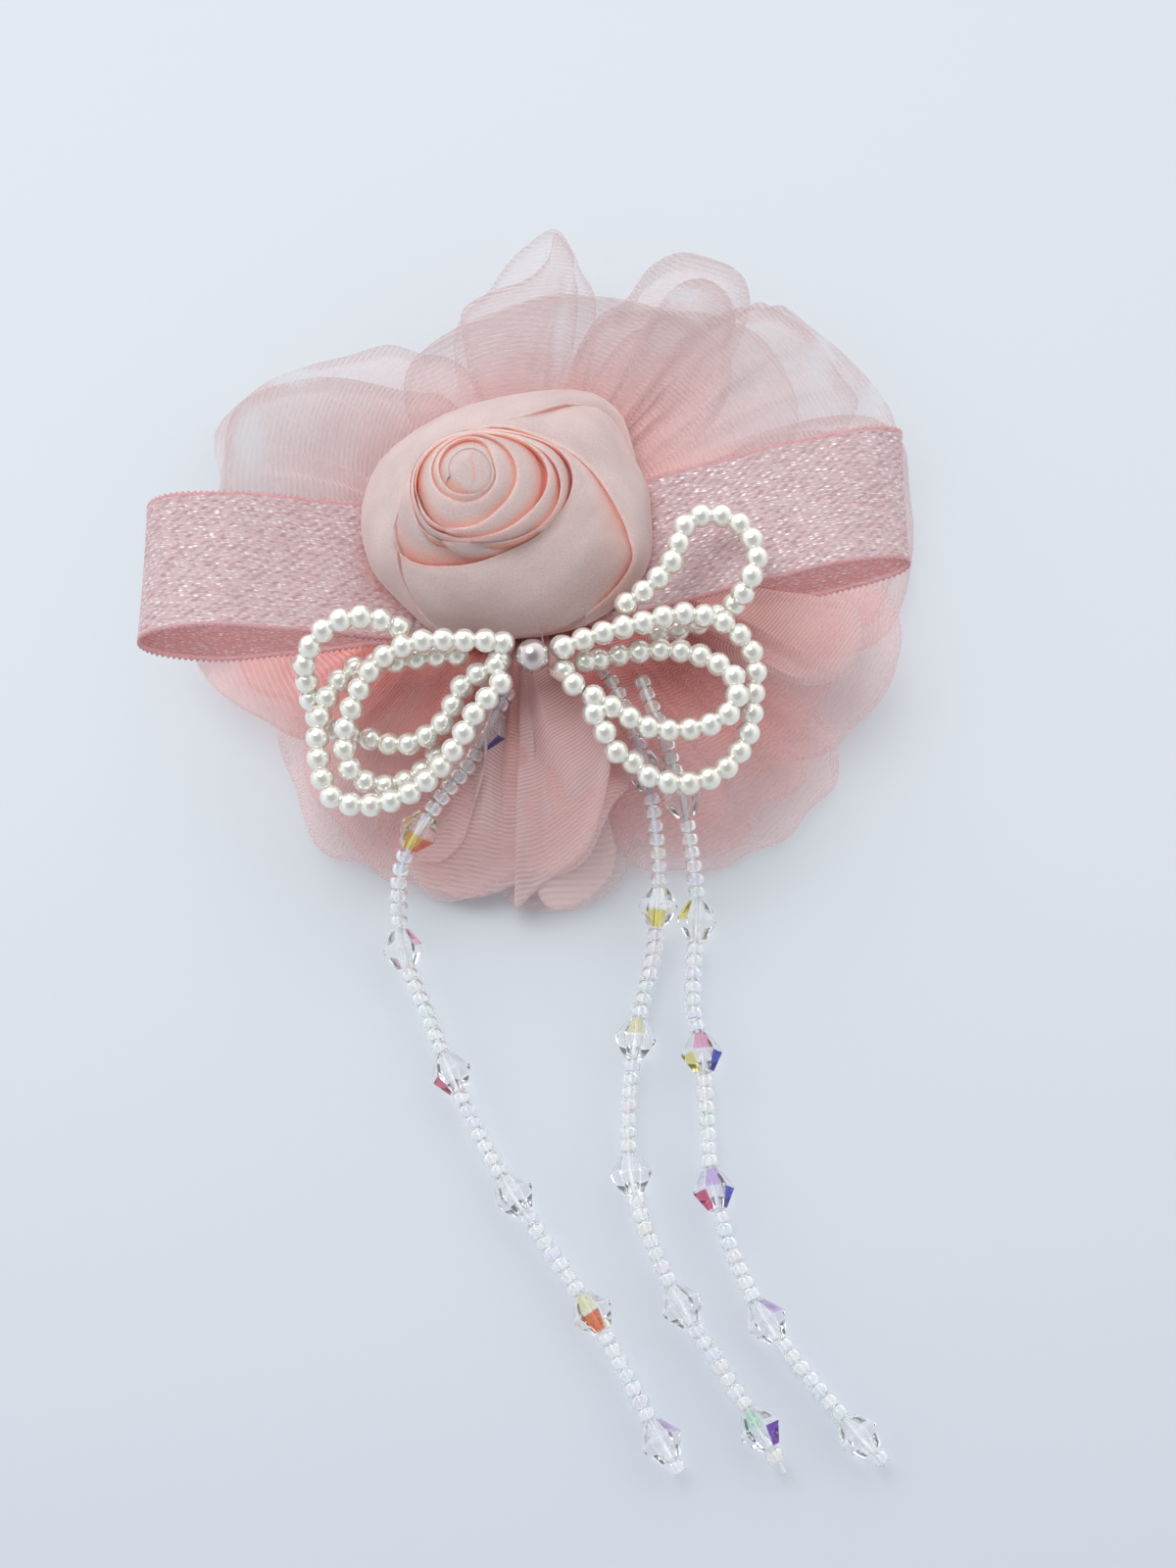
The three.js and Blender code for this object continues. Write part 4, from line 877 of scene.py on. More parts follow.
def satin_material():
    """Matt crepe satin with a fine diagonal grain, and painted coral shade where it runs down between the
    wraps.
    """
    shader = Shader(
        "rose_satin", Sheen_Weight=0.15, Sheen_Roughness=0.4, Specular_IOR_Level=0.3, Subsurface_Weight=0.6,
        Subsurface_Scale=0.002)
    shader.soften((1.0, 0.45, 0.35))
    uv = shader.uv()
    grain = shader.noise(shader.scaled(uv, (6.5, 2.4, 1), 0.7), 1.0, 3.0, 0.65)
    weave = shader.noise(shader.scaled(uv, (2.2, 5.4, 1), -0.6), 1.0, 2.0)
    cloud = shader.noise(shader.scaled(uv, (0.12, 0.2, 1)), 1.0, 2.0)
    deep = shader.value("deep")
    tone = shader.mix(shader.span(cloud, 0.35, 0.65), linear(SATIN_FACE), linear(SATIN_SHADE))
    tone = shader.mix(shader.span(grain, 0.42, 0.66, 0.0, 0.42), tone, linear(SATIN_GRAIN))
    # Painted coral shade in the creases, by the share the mesh gives
    tone = shader.mix(deep, tone, linear(SATIN_CREASE_SHADE))
    shader.set(Base_Color=tone, Roughness=shader.span(weave, 0.3, 0.7, 0.45, 0.66))
    shader.bump(shader.plus(grain, weave), 0.14, 0.9)
    return shader.material


def ribbon_material(name, ground, gleam):
    """Ribbon woven with silver tinsel: short flecks in slanting rows, and a plain darker selvage."""
    shader = Shader(name, Specular_IOR_Level=0.5, Subsurface_Weight=0.5, Subsurface_Scale=0.0012)
    shader.soften((1.0, 0.55, 0.55))
    uv = shader.uv()
    rows = shader.scaled(uv, (1.0, 3.4, 1), RIBBON_ROW_TURN)
    cells = shader.node("ShaderNodeTexVoronoi", {"Vector": rows, "Scale": 1.0, "Randomness": 0.7})
    fleck = shader.span(cells.outputs["Distance"], 0.25, 0.55, 1.0, 0.0)
    slant = shader.scaled(uv, (1, 1, 1), RIBBON_TWILL_TURN)
    twill = shader.wave(shader.split(slant)[1], TWILL_PITCH)
    chance = shader.split(cells.outputs["Color"])[0]
    lit = shader.plus(shader.times(chance, 0.7), shader.times(twill, 0.3))
    bright = shader.times(fleck, shader.span(lit, 0.4, 0.8, 0.0, 1.0))
    edge = shader.value("edge")
    tone = shader.mix(shader.span(lit, 0.05, 0.45), linear(RIBBON_DEEP), linear(ground))
    tone = shader.mix(shader.times(bright, gleam), tone, linear(RIBBON_SILVER))
    tone = shader.mix(edge, tone, linear(RIBBON_EDGE))
    inner = shader.math("SUBTRACT", 1.0, edge)
    metal = shader.times(shader.times(bright, 0.6 * gleam), inner)
    shader.set(Base_Color=tone, Metallic=metal, Roughness=shader.span(bright, 0.0, 1.0, 0.55, 0.28))
    shader.bump(shader.plus(fleck, lit), 0.12, 0.8)
    return shader.material


def pearl_material(name, tint, metallic):
    """Nacre: a lustrous cream body under a clear coat, with a tint that differs from pearl to pearl."""
    shader = Shader(
        name, Roughness=0.22, Metallic=metallic, Coat_Weight=1.0, Coat_Roughness=0.05, Coat_IOR=2.9,
        Specular_IOR_Level=0.6)
    place = shader.object_place()
    cloud = shader.noise(place, 900.0, 2.0)
    tone = shader.mix(shader.value("tint"), linear(tint), linear(PEARL_CREAM))
    tone = shader.mix(shader.span(cloud, 0.3, 0.7, 0.0, 0.15), tone, linear(PEARL_CLOUD))
    shader.set(Base_Color=tone)
    shader.bump(shader.noise(place, 2600.0, 2.0), 0.01, 0.3)
    return shader.material


def glass_material(name, roughness, clear):
    """Clear glass: the tint of each bead, and the painted reflection colour of each flashing facet, comes
    from the mesh.
    """
    shader = Shader(name, Transmission_Weight=clear, IOR=1.45, Roughness=roughness)
    shader.set(Base_Color=shader.colour_value("tint_and_flash_colour"))
    shader.bump(shader.noise(shader.object_place(), 1500.0, 2.0), 0.02, 0.25)
    return shader.material


def steel_material(name, colour):
    """Nickel-plated steel, brushed along the clip, with fine scratches."""
    shader = Shader(name, Metallic=1.0, Specular_IOR_Level=0.5)
    place = shader.object_place()
    brushed = shader.noise(shader.scaled(place, (120.0, 4200.0, 4200.0)), 1.0, 3.0)
    cloud = shader.noise(place, 180.0, 3.0)
    dark = tuple(0.8 * channel for channel in colour)
    shader.set(
        Base_Color=shader.mix(shader.span(cloud, 0.35, 0.7, 0.0, 0.5), linear(colour), linear(dark)),
        Roughness=shader.span(brushed, 0.3, 0.7, 0.2, 0.38))
    shader.bump(brushed, 0.01, 0.4)
    return shader.material


def felt_material():
    """Pressed felt: matted fibres in every direction."""
    shader = Shader("felt", Roughness=0.95, Sheen_Weight=0.5, Sheen_Roughness=0.6, Specular_IOR_Level=0.1)
    place = shader.object_place()
    fibre = shader.noise(shader.scaled(place, (900.0, 2600.0, 1500.0)), 1.0, 4.0, 0.7)
    cross = shader.noise(shader.scaled(place, (2600.0, 800.0, 1500.0)), 1.0, 4.0, 0.7)
    matted = shader.math("MAXIMUM", fibre, cross)
    tone = shader.mix(shader.span(matted, 0.4, 0.75), linear(FELT_DARK), linear(FELT_PINK))
    shader.set(Base_Color=tone)
    shader.bump(matted, 0.25, 0.8)
    return shader.material


def thread_material():
    """Twisted nylon thread."""
    shader = Shader("bead_thread", Roughness=0.45, Specular_IOR_Level=0.4)
    twist = shader.noise(shader.scaled(shader.object_place(), (1200.0, 3000.0, 3000.0)), 1.0, 2.0)
    shader.set(Base_Color=shader.mix(twist, linear(THREAD_GREY), linear(THREAD_WHITE)))
    shader.bump(twist, 0.03, 0.5)
    return shader.material


# Bead strands

def strand_places(seeds):
    """Distances along the thread of the middles of the seed beads and of the crystals."""
    seed_places, crystal_places = [], []
    place = 0.0
    for run, count in enumerate(seeds):
        for _ in range(count):
            seed_places.append(place + SEED_LENGTH / 2)
            place += SEED_LENGTH
        if run == len(seeds) - 1:
            break
        crystal_places.append(place + BEAD_GAP + CRYSTAL_LENGTH / 2)
        place += 2 * BEAD_GAP + CRYSTAL_LENGTH
    return seed_places, crystal_places


def seed_profile():
    """A rounded glass bead with a bore, as radius and height."""
    outer, bore, half = SEED_DIAMETER / 2, SEED_BORE / 2, SEED_LENGTH * SEED_HALF
    angles = np.linspace(-math.pi / 2, math.pi / 2, 9)
    face, mouth = outer * SEED_FACE, half * SEED_MOUTH
    swell = [(outer - face) * math.cos(a) ** SEED_ROUNDNESS for a in angles[1:-1]]
    rounded = [(face + out, half * math.sin(a)) for out, a in zip(swell, angles[1:-1])]
    return [(bore, -mouth), (face, -half), *rounded, (face, half), (bore, mouth)]


def seed_tints(count, rng):
    """Clear glass with a faint lilac, blue, green or amber cast from bead to bead."""
    picked = rng.choice(len(SEED_CASTS), size=count, p=SEED_CAST_SHARES)
    return np.array(SEED_CASTS)[picked] * np.array(linear(SEED_CLEAR)[:3])


def add_tint_and_flash_colours(piece, colours):
    attribute = piece.data.attributes.new("tint_and_flash_colour", "FLOAT_COLOR", "POINT")
    rows = np.concatenate([colours, np.ones((len(colours), 1))], axis=1)
    attribute.data.foreach_set("color", rows.astype(np.float32).ravel())


def let_light_through(piece):
    """Clear glass leaves the table under it lit."""
    piece.visible_shadow = False


def add_seeds(name, route, places, material, rng):
    base_points, base_faces = lathe(seed_profile(), SEED_SIDES)
    parts, colours = [], []
    tints = seed_tints(len(places), rng)
    for place, tint in zip(places, tints):
        along = route.direction(place, SEED_LENGTH / 2) + rng.normal(0, SEED_TILT, 3)
        turned = turn_to(along, rng.uniform(0, 6))
        size = np.array([1, 1, rng.uniform(0.92, 1.0)]) * rng.uniform(0.93, 1.0)
        points = (base_points * size) @ turned.T + route.at(place)
        parts.append((points, base_faces, 0.0))
        colours.append(np.repeat(tint[None], len(points), axis=0))
    points, faces, _ = merged(parts)
    piece = add_mesh(name, points, faces)
    add_tint_and_flash_colours(piece, np.vstack(colours))
    let_light_through(piece)
    return dress(piece, material)


def crystal_rings():
    """Rings of the bicone as (radius, height): bore, end, waist with a narrow band, end, bore."""
    half = CRYSTAL_LENGTH / 2
    band = CRYSTAL_BAND
    bore, end, waist = CRYSTAL_BORE / 2, CRYSTAL_END_DIAMETER / 2, CRYSTAL_DIAMETER / 2
    return [(bore, -half), (end, -half), (waist, -band), (waist, band), (end, half), (bore, half)]


def towards_viewer(direction, spin):
    """A rotation that takes +Z to a direction and +X towards the viewer, after a spin about +Z."""
    forward = unit(direction)
    return turn_with(forward, unit(VIEW_WAY - forward * VIEW_WAY.dot(forward)), spin)


def add_crystal(name, node, route, place, material, flashes, rng):
    """A bicone of two crowns of facets, each facet with points of its own so that its edges stay sharp."""
    rings = crystal_rings()
    colours_at = {(1 + 2 * crown, facet): colour for crown, facet, colour in flashes}
    spin = -math.pi / CRYSTAL_SIDES + rng.uniform(-CRYSTAL_SPIN, CRYSTAL_SPIN)
    turned = towards_viewer(route.direction(place, CRYSTAL_LENGTH / 2), spin)
    corners, faces, colours = [], [], []
    for i, (low, high) in enumerate(zip(rings, rings[1:] + rings[:1])):
        for j in range(CRYSTAL_SIDES):
            angles = [2 * math.pi * (j + k) / CRYSTAL_SIDES for k in (0, 1)]
            facet = [(low, angles[0]), (low, angles[1]), (high, angles[1]), (high, angles[0])]
            start = len(corners)
            corners.extend((r * math.cos(a), r * math.sin(a), h) for (r, h), a in facet)
            faces.append([start, start + 1, start + 2, start + 3])
            # Flashing facets get a painted reflection colour, the rest stay clear
            flash = colours_at.get((i, j))
            colours.extend([linear(flash or CRYSTAL_CLEAR)[:3]] * 4)
    piece = add_mesh(name, np.array(corners) @ turned.T + route.at(place), faces, smooth=False)
    add_tint_and_flash_colours(piece, np.array(colours))
    let_light_through(piece)
    return dress(piece, material, replaced=[node])


def add_thread(name, route, material):
    """The thread as a round curve along its route."""
    data = bpy.data.curves.new(name, "CURVE")
    data.dimensions = "3D"
    data.bevel_depth = THREAD / 2 * MM
    data.bevel_resolution = 3
    data.use_fill_caps = True
    spline = data.splines.new("POLY")
    points = route.at(np.linspace(0, route.length, CORD_POINTS)) * MM
    spline.points.add(CORD_POINTS - 1)
    spline.points.foreach_set("co", np.concatenate([points, np.ones((CORD_POINTS, 1))], axis=1).ravel())
    return dress(add_object(name, data), material)


def add_strands():
    thread = thread_material()
    seed_glass = glass_material("seed_glass", *SEED_GLASS)
    crystal_glass = glass_material("crystal_glass", *CRYSTAL_GLASS)
    for order, (name, strand) in enumerate(STRANDS.items()):
        rng = np.random.default_rng(STRAND_DRAWS + order)
        route = Route(strand["route"])
        seed_places, crystal_places = strand_places(strand["seeds"])
        cord = add_thread(f"thread_{name}", route, thread)
        beads = add_seeds(f"seeds_{name}", route, seed_places, seed_glass, rng)
        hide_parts(f"strand_{name}_seeds")
        for i, (place, flashes) in enumerate(zip(crystal_places, PAINTED_FLASHES[name]), 1):
            names = f"bicone_{name}_{i}", f"crystal_{name}_{i}"
            add_crystal(*names, route, place, crystal_glass, flashes, rng)
        tuple(route.at(0.0) * MM)


# Pearls

def sphere_points(radius, rows=14, columns=22):
    """A sphere with its poles along +Z and a small bore at each."""
    angles = np.linspace(-math.pi / 2 + 0.12, math.pi / 2 - 0.12, rows)
    profile = [(radius * math.cos(a), radius * math.sin(a)) for a in angles]
    return lathe(profile, columns)


def add_pearl_loop(node, route_points, material, rng):
    route = Route(np.array(route_points) + np.array([0, 0, FELT_TOP]))
    count = int((route.length - PEARL) // PEARL_PITCH) + 1
    start = (route.length - (count - 1) * PEARL_PITCH) / 2
    base_points, base_faces = sphere_points(PEARL_SHOWN / 2)
    parts = []
    for i in range(count):
        place = start + i * PEARL_PITCH
        along = route.direction(place, PEARL / 2) + rng.normal(0, PEARL_TILT, 3)
        turned = turn_to(along, rng.uniform(0, 6))
        points = (base_points * rng.uniform(0.985, 1.015)) @ turned.T + route.at(place)
        parts.append((points, base_faces, rng.uniform(0, 1) ** 2))
    for reading in LOOP_TAILS.get(node, []):
        points = base_points @ turn_to(np.array([1.0, 0.3, 0]), 0).T + point_at_pixel(*reading)
        parts.append((points, base_faces, rng.uniform(0, 1) ** 2))
    wire = tube_grid(route.at(np.linspace(start, route.length - start, 120)), LOOP_WIRE / 2, 6)
    parts.append((wire.reshape(-1, 3), grid_faces(*wire.shape[:2], wrap_columns=True), 0.3))
    points, faces, tints = merged(parts)
    piece = add_mesh(node.replace("pearl_loop", "pearls"), points, faces, values={"tint": tints})
    return dress(piece, material, replaced=[node])


def add_pearls():
    material = pearl_material("pearl_ivory", PEARL_IVORY, PEARL_METAL)
    rng = np.random.default_rng(PEARL_DRAWS)
    for name, route_points in PEARL_LOOPS.items():
        add_pearl_loop(name, route_points, material, rng)
    points, faces = sphere_points(CENTRE_PEARL / 2, 24, 36)
    turned = turn_to(np.array([1.0, 0.2, 0.1]), 0)
    tints = np.zeros(len(points))
    big = add_mesh("large_pearl", points @ turned.T + CENTRE_PEARL_PLACE, faces, values={"tint": tints})
    pink = pearl_material("pearl_pink", PEARL_PINK, PINK_PEARL_METAL)
    dress(big, pink, replaced=["centre_pearl"])


# Ribbon bow

def bow_loop(loop, sign, turns):
    """Points of a bow loop seen from the side: a teardrop from the flat middle to the far end and back."""
    out = np.sin(turns / 2) ** 2
    x = BOW_FLAT + loop["reach"] * out
    height = BOW_MIDDLE + loop["swell"] * np.sin(turns) * out + loop["lift"] * out
    height = height + BOW_SPREAD * np.cos(turns / 2)
    return np.stack([BOW_CENTRE[0] + sign * x, BOW_CENTRE[1] + sign * x * loop["slope"], height], axis=-1)


def bow_ring():
    """The ring of ribbon, at even steps along its length."""
    turns = np.linspace(0, 2 * math.pi, BOW_STEPS)
    ring = np.vstack([bow_loop(LEFT_LOOP, -1, turns), bow_loop(RIGHT_LOOP, 1, turns[::-1])])
    closed = np.vstack([ring, ring[:1]])
    places = polyline_lengths(closed)
    count = int(places[-1] / (PICOT_PITCH / 2))
    even = np.linspace(0, places[-1], count, endpoint=False)
    return np.stack([np.interp(even, places, closed[:, i]) for i in range(3)], axis=-1), even


def add_bow():
    ring, places = bow_ring()
    half = RIBBON_WIDTH / 2
    inner = np.linspace(-half + SELVAGE, half - SELVAGE, RIBBON_COLUMNS)
    across = np.concatenate([[-half, -half + SELVAGE * 0.5], inner, [half - SELVAGE * 0.5, half]])
    picot = PICOT_REACH * np.cos(2 * math.pi * places / PICOT_PITCH)
    offset = np.repeat(across[None], len(ring), axis=0)
    offset[:, 0] -= picot
    offset[:, -1] += picot
    grid = np.repeat(ring[:, None], len(across), axis=1)
    grid[..., 1] += offset
    outward = unit(np.cross(np.gradient(ring, axis=0), [0.0, 1.0, 0.0]))
    crown = BOW_CROWN * (1 - (across / half) ** 2)
    height, along_rate, across_rate = BOW_RIPPLE
    ripple = height * np.sin(places[:, None] * along_rate + across[None] * across_rate)
    grid += (crown[None] + ripple)[..., None] * outward[:, None]
    uv = np.stack(np.broadcast_arrays(places[:, None], across[None]), axis=-1)
    edge = np.repeat((np.abs(across) > half - SELVAGE * 0.75)[None], len(ring), axis=0).astype(float)
    piece = add_grids("bow", [(grid, uv, {"edge": edge})], wrap_rows=True)
    thick = piece.modifiers.new("cloth", "SOLIDIFY")
    thick.thickness = RIBBON_THICKNESS * MM
    thick.offset = 0
    dress(piece, ribbon_material("ribbon_tinsel", RIBBON_ROSE, 1.0), replaced=["ribbon_bow"])
    # The ribbon's inner side is painted darker and its flecks dimmer, as painted shade inside the loops
    piece.data.materials.append(ribbon_material("ribbon_inside", RIBBON_INSIDE_SHADE, RIBBON_SHADED_GLEAM))
    thick.material_offset = 1
    piece.visible_shadow = False
    piece.visible_diffuse = False


# Rose

def hermite(knots, values, at):
    """A smooth curve through values at rising knots, read at other knots."""
    slope = np.gradient(values, knots, axis=0)
    i = np.clip(np.searchsorted(knots, at) - 1, 0, len(knots) - 2)
    width = (knots[i + 1] - knots[i])[:, None]
    t = ((at - knots[i]) / (knots[i + 1] - knots[i]))[:, None]
    start, end = values[i], values[i + 1]
    leave, arrive = slope[i] * width, slope[i + 1] * width
    return (
        start * (1 + 2 * t) * (1 - t) ** 2 + leave * t * (1 - t) ** 2
        + end * t ** 2 * (3 - 2 * t) + arrive * t ** 2 * (t - 1))


def rose_rim(turns):
    """Points of the rim, from its bearing and distance about the bud."""
    knots = np.array([row[0] for row in ROSE_RIM_PIXELS], float)
    height_knots, heights = np.array(ROSE_RIM_HEIGHTS, float).T
    points = np.array([
        point_at_pixel(u, v, np.interp(turn, height_knots, heights)) for turn, u, v in ROSE_RIM_PIXELS])
    bud = point_at_pixel(*BUD_PIXEL, heights[0])
    offset = points - bud
    bearing = np.unwrap(np.arctan2(offset[:, 1], offset[:, 0]))
    reach = np.linalg.norm(offset[:, :2], axis=1)
    bearing, reach, height = hermite(knots, np.stack([bearing, reach, points[:, 2]], axis=-1), turns).T
    return np.stack([bud[0] + reach * np.cos(bearing), bud[1] + reach * np.sin(bearing), height], axis=-1)


def rose_foot(turns):
    """Inner wraps end under the next wrap's rim, the outer ones where the photograph shows it."""
    knots = np.array([row[0] for row in ROSE_FOOT_PIXELS], float)
    points = np.array([point_at_pixel(u, v, height) for _, u, v, height in ROSE_FOOT_PIXELS])
    outer = hermite(knots, points, np.clip(turns, knots[0], knots[-1]))
    next_rim = rose_rim(np.clip(turns + 1, None, ROSE_RIM_PIXELS[-1][0]))
    bud = point_at_pixel(*BUD_PIXEL, next_rim[:, 2].max())
    inward = unit((bud - next_rim) * np.array([1, 1, 0]))
    opening = np.full(len(turns), ROSE_CREASE)
    for turn, spread, width in ROSE_GAPS:
        opening += width * np.exp(-((turns - turn) / spread) ** 2)
    inner = next_rim + inward * opening[:, None] - np.array([0, 0, ROSE_TUCK])
    share = smooth_step((turns - ROSE_FRONT_TURN) / ROSE_FRONT_SPREAD)[:, None]
    return inner * (1 - share) + outer * share


def wall_rows(turns, rim, outward):
    """The hidden inner side of the strip up to its lip: points, share of painted coral shade and distance
    along the cloth.
    """
    leaning = smooth_step((turns - ROSE_LEAN_TURNS[0]) / ROSE_LEAN_SPREAD)
    leaning = leaning * smooth_step((ROSE_LEAN_TURNS[1] - turns) / ROSE_LEAN_SPREAD)
    for depth in np.linspace(1, 0.1, 6):
        wall = rim - outward * (ROSE_WALL * ROSE_LIP + ROSE_LEAN * leaning * depth)[:, None]
        wall[:, 2] -= ROSE_INNER_DEPTH * depth
        coral_and_shade_share = np.full(len(turns), ROSE_WALL_SHADE * depth ** 0.5)
        yield wall, coral_and_shade_share, np.full(len(turns), -ROSE_INNER_DEPTH * depth)


def lip_rows(turns, rim, outward):
    """The rolled lip of the strip."""
    for angle in np.linspace(0.9 * math.pi, 0.2 * math.pi, 6):
        lift = np.array([0, 0, ROSE_LIP * 1.3 * (math.sin(angle) - 1)])
        lip = rim + outward * (ROSE_LIP * (math.cos(angle) - 1)) + lift
        yield lip, np.zeros(len(turns)), np.zeros(len(turns))


def face_rows(rim, face, reach, covered):
    """The face that shows, bulging between the lip and the foot."""
    along = unit(np.gradient(rim, axis=0))
    normal = unit(np.cross(face, along))
    normal *= np.where(normal[:, 2:] < 0, -1, 1)
    bulge = np.clip(ROSE_BULGE[0] * reach - ROSE_BULGE[1], *ROSE_BULGE_RANGE)
    for t in np.linspace(0.05, 1, 18):
        bulging = normal * (bulge * math.sin(math.pi * t ** 0.8))[:, None]
        # The lower part of the face takes painted coral shade, more where the next wrap covers it
        down = float(smooth_step((t - ROSE_FACE_UNSHADED) / (1 - ROSE_FACE_UNSHADED)))
        coral_and_shade_share = (ROSE_FACE_SHADE[0] + ROSE_FACE_SHADE[1] * covered) * down
        yield rim + face * t + bulging, coral_and_shade_share, reach * t


def tuck_rows(turns, foot, outward, reach, covered):
    """The end of the strip, tucked under the next wrap or under the rose."""
    under = foot - outward * ROSE_UNDERCUT
    under[:, 2] = np.minimum(foot[:, 2] - 1, np.maximum(foot[:, 2] - 5, ROSE_SEAT + 0.1))
    floor = rose_rim(np.clip(turns + 1, None, turns[-1])) + outward * ROSE_LIP
    floor[:, 2] -= ROSE_INNER_DEPTH * 0.95
    end = floor * covered[:, None] + under * (1 - covered[:, None])
    for t in np.linspace(0.15, 1, 7):
        tuck = foot + (end - foot) * t
        tuck[:, 2] -= covered * 0.5 * math.sin(math.pi * t)
        # The tucked end takes painted coral shade, more towards its end
        yield tuck, np.full(len(turns), ROSE_TUCK_SHADE[0] + ROSE_TUCK_SHADE[1] * t), reach + 3 * t


def rose_grid():
    """The wound strip: rows from its inner wall over the lip and down the face to its tucked end."""
    first, last = ROSE_RIM_PIXELS[0][0], ROSE_RIM_PIXELS[-1][0]
    turns = np.linspace(first, last, int((last - first) * ROSE_STEPS_PER_TURN))
    rim, foot = rose_rim(turns), rose_foot(turns)
    uneven = sum(height * np.sin(turns * rate + phase) for height, rate, phase in ROSE_WAVES)
    rim[:, 2] += uneven * smooth_step(turns / 1.5)
    face = foot - rim
    reach = np.linalg.norm(face, axis=1)
    outward = unit(face * np.array([1, 1, 0]))
    covered = 1 - smooth_step((turns - ROSE_FRONT_TURN + 0.1) / 0.2)
    rows = [
        *wall_rows(turns, rim, outward), *lip_rows(turns, rim, outward),
        *face_rows(rim, face, reach, covered), *tuck_rows(turns, foot, outward, reach, covered)]
    points, deep, down = zip(*rows)
    places = np.repeat(polyline_lengths(rim)[None], len(rows), axis=0)
    return np.array(points), np.stack([places, np.array(down)], axis=-1), np.clip(deep, 0, 1)


def bud_grid():
    """The folded bud that closes the first wrap: a low dome of two lapped leaves, and a skirt, with painted
    coral shade along its fold lines, round its edge and on the skirt.
    """
    shares = np.linspace(0, 1, 97)
    rim = rose_rim(shares)
    edge = rim + (rim[0] - rim[-1]) * smooth_step((shares - 0.7) / 0.3)[:, None]
    middle = edge.mean(axis=0)
    reach = np.linspace(1, 0, 26)[:, None, None]
    dome = middle + (edge - middle)[None] * reach
    across = dome[..., 0] - middle[0] + 0.25 * np.sin(1.3 * (dome[..., 1] - middle[1]))
    rise = 1 - reach[..., 0] ** 2
    lap = smooth_step(0.5 - across / BUD_FOLD)
    peak = np.exp(-((dome[..., 1] - middle[1] - BUD_PEAK[0]) / BUD_PEAK[1]) ** 2)
    dome[..., 2] += BUD_RISE * rise * (0.5 + peak) + BUD_FOLD * lap * rise - BUD_DIP * reach[..., 0] ** 6
    # Painted coral shade along the fold lines and round the bud's edge
    lines = sum(share * np.exp(-((across - place) / width) ** 2) for place, width, share in BUD_SHADE_LINES)
    deep = np.clip(0.4 * lines * rise + 0.4 * reach[..., 0] ** 8, 0, 1)
    outward = np.linspace(1, 0.2, 5)[:, None, None]
    skirt = edge + (rim - edge)[None] * outward
    skirt[..., 2] -= BUD_DIP * (1 + outward[..., 0])
    grid = np.concatenate([skirt, dome])
    return grid, grid[..., :2].copy(), np.concatenate([np.full(skirt.shape[:2], 0.7), deep])


def core_grid():
    """A dome inside the rose that closes the gaps between its wraps, all in painted coral shade."""
    last = ROSE_FOOT_PIXELS[-1][0]
    edge = rose_foot(np.linspace(last - 1, last, 97))
    edge[-1] = edge[0]
    peak = point_at_pixel(*BUD_PIXEL, ROSE_CORE)
    share = np.linspace(0.02, 0.93, 14)[:, None, None]
    grid = peak + (edge - peak)[None] * share
    grid[..., 2] = peak[2] + (edge[None, :, 2] - 1 - peak[2]) * share[..., 0] ** 1.5
    return grid, grid[..., :2].copy(), np.ones(grid.shape[:2])


def add_rose():
    parts = [rose_grid(), bud_grid(), core_grid()]
    piece = add_grids("rose", [(grid, uv, {"deep": deep}) for grid, uv, deep in parts])
    dress(piece, satin_material(), replaced=["satin_rose"])
    grid = parts[0][0]
    strip = line_lengths(grid, axis=1).max()
    height = line_lengths(grid, axis=0).max()
    area = sum(sheet_area(part[0]) for part in parts)


# Organza petals

def rim_bearings(points):
    return np.unwrap(np.arctan2(points[:, 1] - HUB[1], points[:, 0] - HUB[0]))


def inset_rim(points, inset):
    """A rim drawn in towards the hub, by one distance at its start and another at its end."""
    offset = points[:, :2] - HUB
    reach = np.linalg.norm(offset, axis=1, keepdims=True)
    sway = 1 + INSET_SWAY[0] * np.sin(INSET_SWAY[1] * np.arange(len(points)) + points[0, 0])
    share = (np.linspace(inset[0], inset[1], len(points)) * sway)[:, None]
    height = points[:, 2:] + INSET_RISE * share
    return np.concatenate([HUB + offset * (1 - share / reach), height], axis=1)


def widened_rim(points, overlap):
    """The rim with its ends carried round the hub by that many degrees, drawn in and down."""
    bearings = rim_bearings(points)
    sign = math.copysign(1, bearings[-1] - bearings[0])
    before, after = [], []
    for turn, shrink, drop in RIM_ENDS:
        for ends, i, way in ((before, 0, -sign), (after, -1, sign)):
            point, bearing = points[i], bearings[i]
            reach = shrink * np.linalg.norm(point[:2] - HUB)
            angle = bearing + way * math.radians(overlap * turn)
            height = max(point[2] - drop, 1.0)
            ends.append([HUB[0] + reach * math.cos(angle), HUB[1] + reach * math.sin(angle), height])
    return np.vstack([before[::-1], points, after])


def petal_strips(spec):
    """The petal's strips, each with its own rim in millimetres above the table."""
    outer = np.array(spec["rim"], float) + np.array([0, 0, FELT_TOP])
    strips = [{**spec, "points": outer}]
    for further in spec.get("strips", []):
        strip = {**spec, **further}
        strip["level"] = spec["level"] + further["level"]
        if "pixels" in further:
            strip["points"] = np.array([point_at_pixel(*reading) for reading in further["pixels"]])
        else:
            strip["points"] = inset_rim(outer, further["inset"])
        strips.append(strip)
    return strips


def pleat_shape(share):
    """Knife pleats: a slow rise and a quick fall, between -1 and 1."""
    rise = 2 * share / PLEAT_LAP - 1
    return np.where(share < PLEAT_LAP, rise, 1 - 2 * (share - PLEAT_LAP) / (1 - PLEAT_LAP))


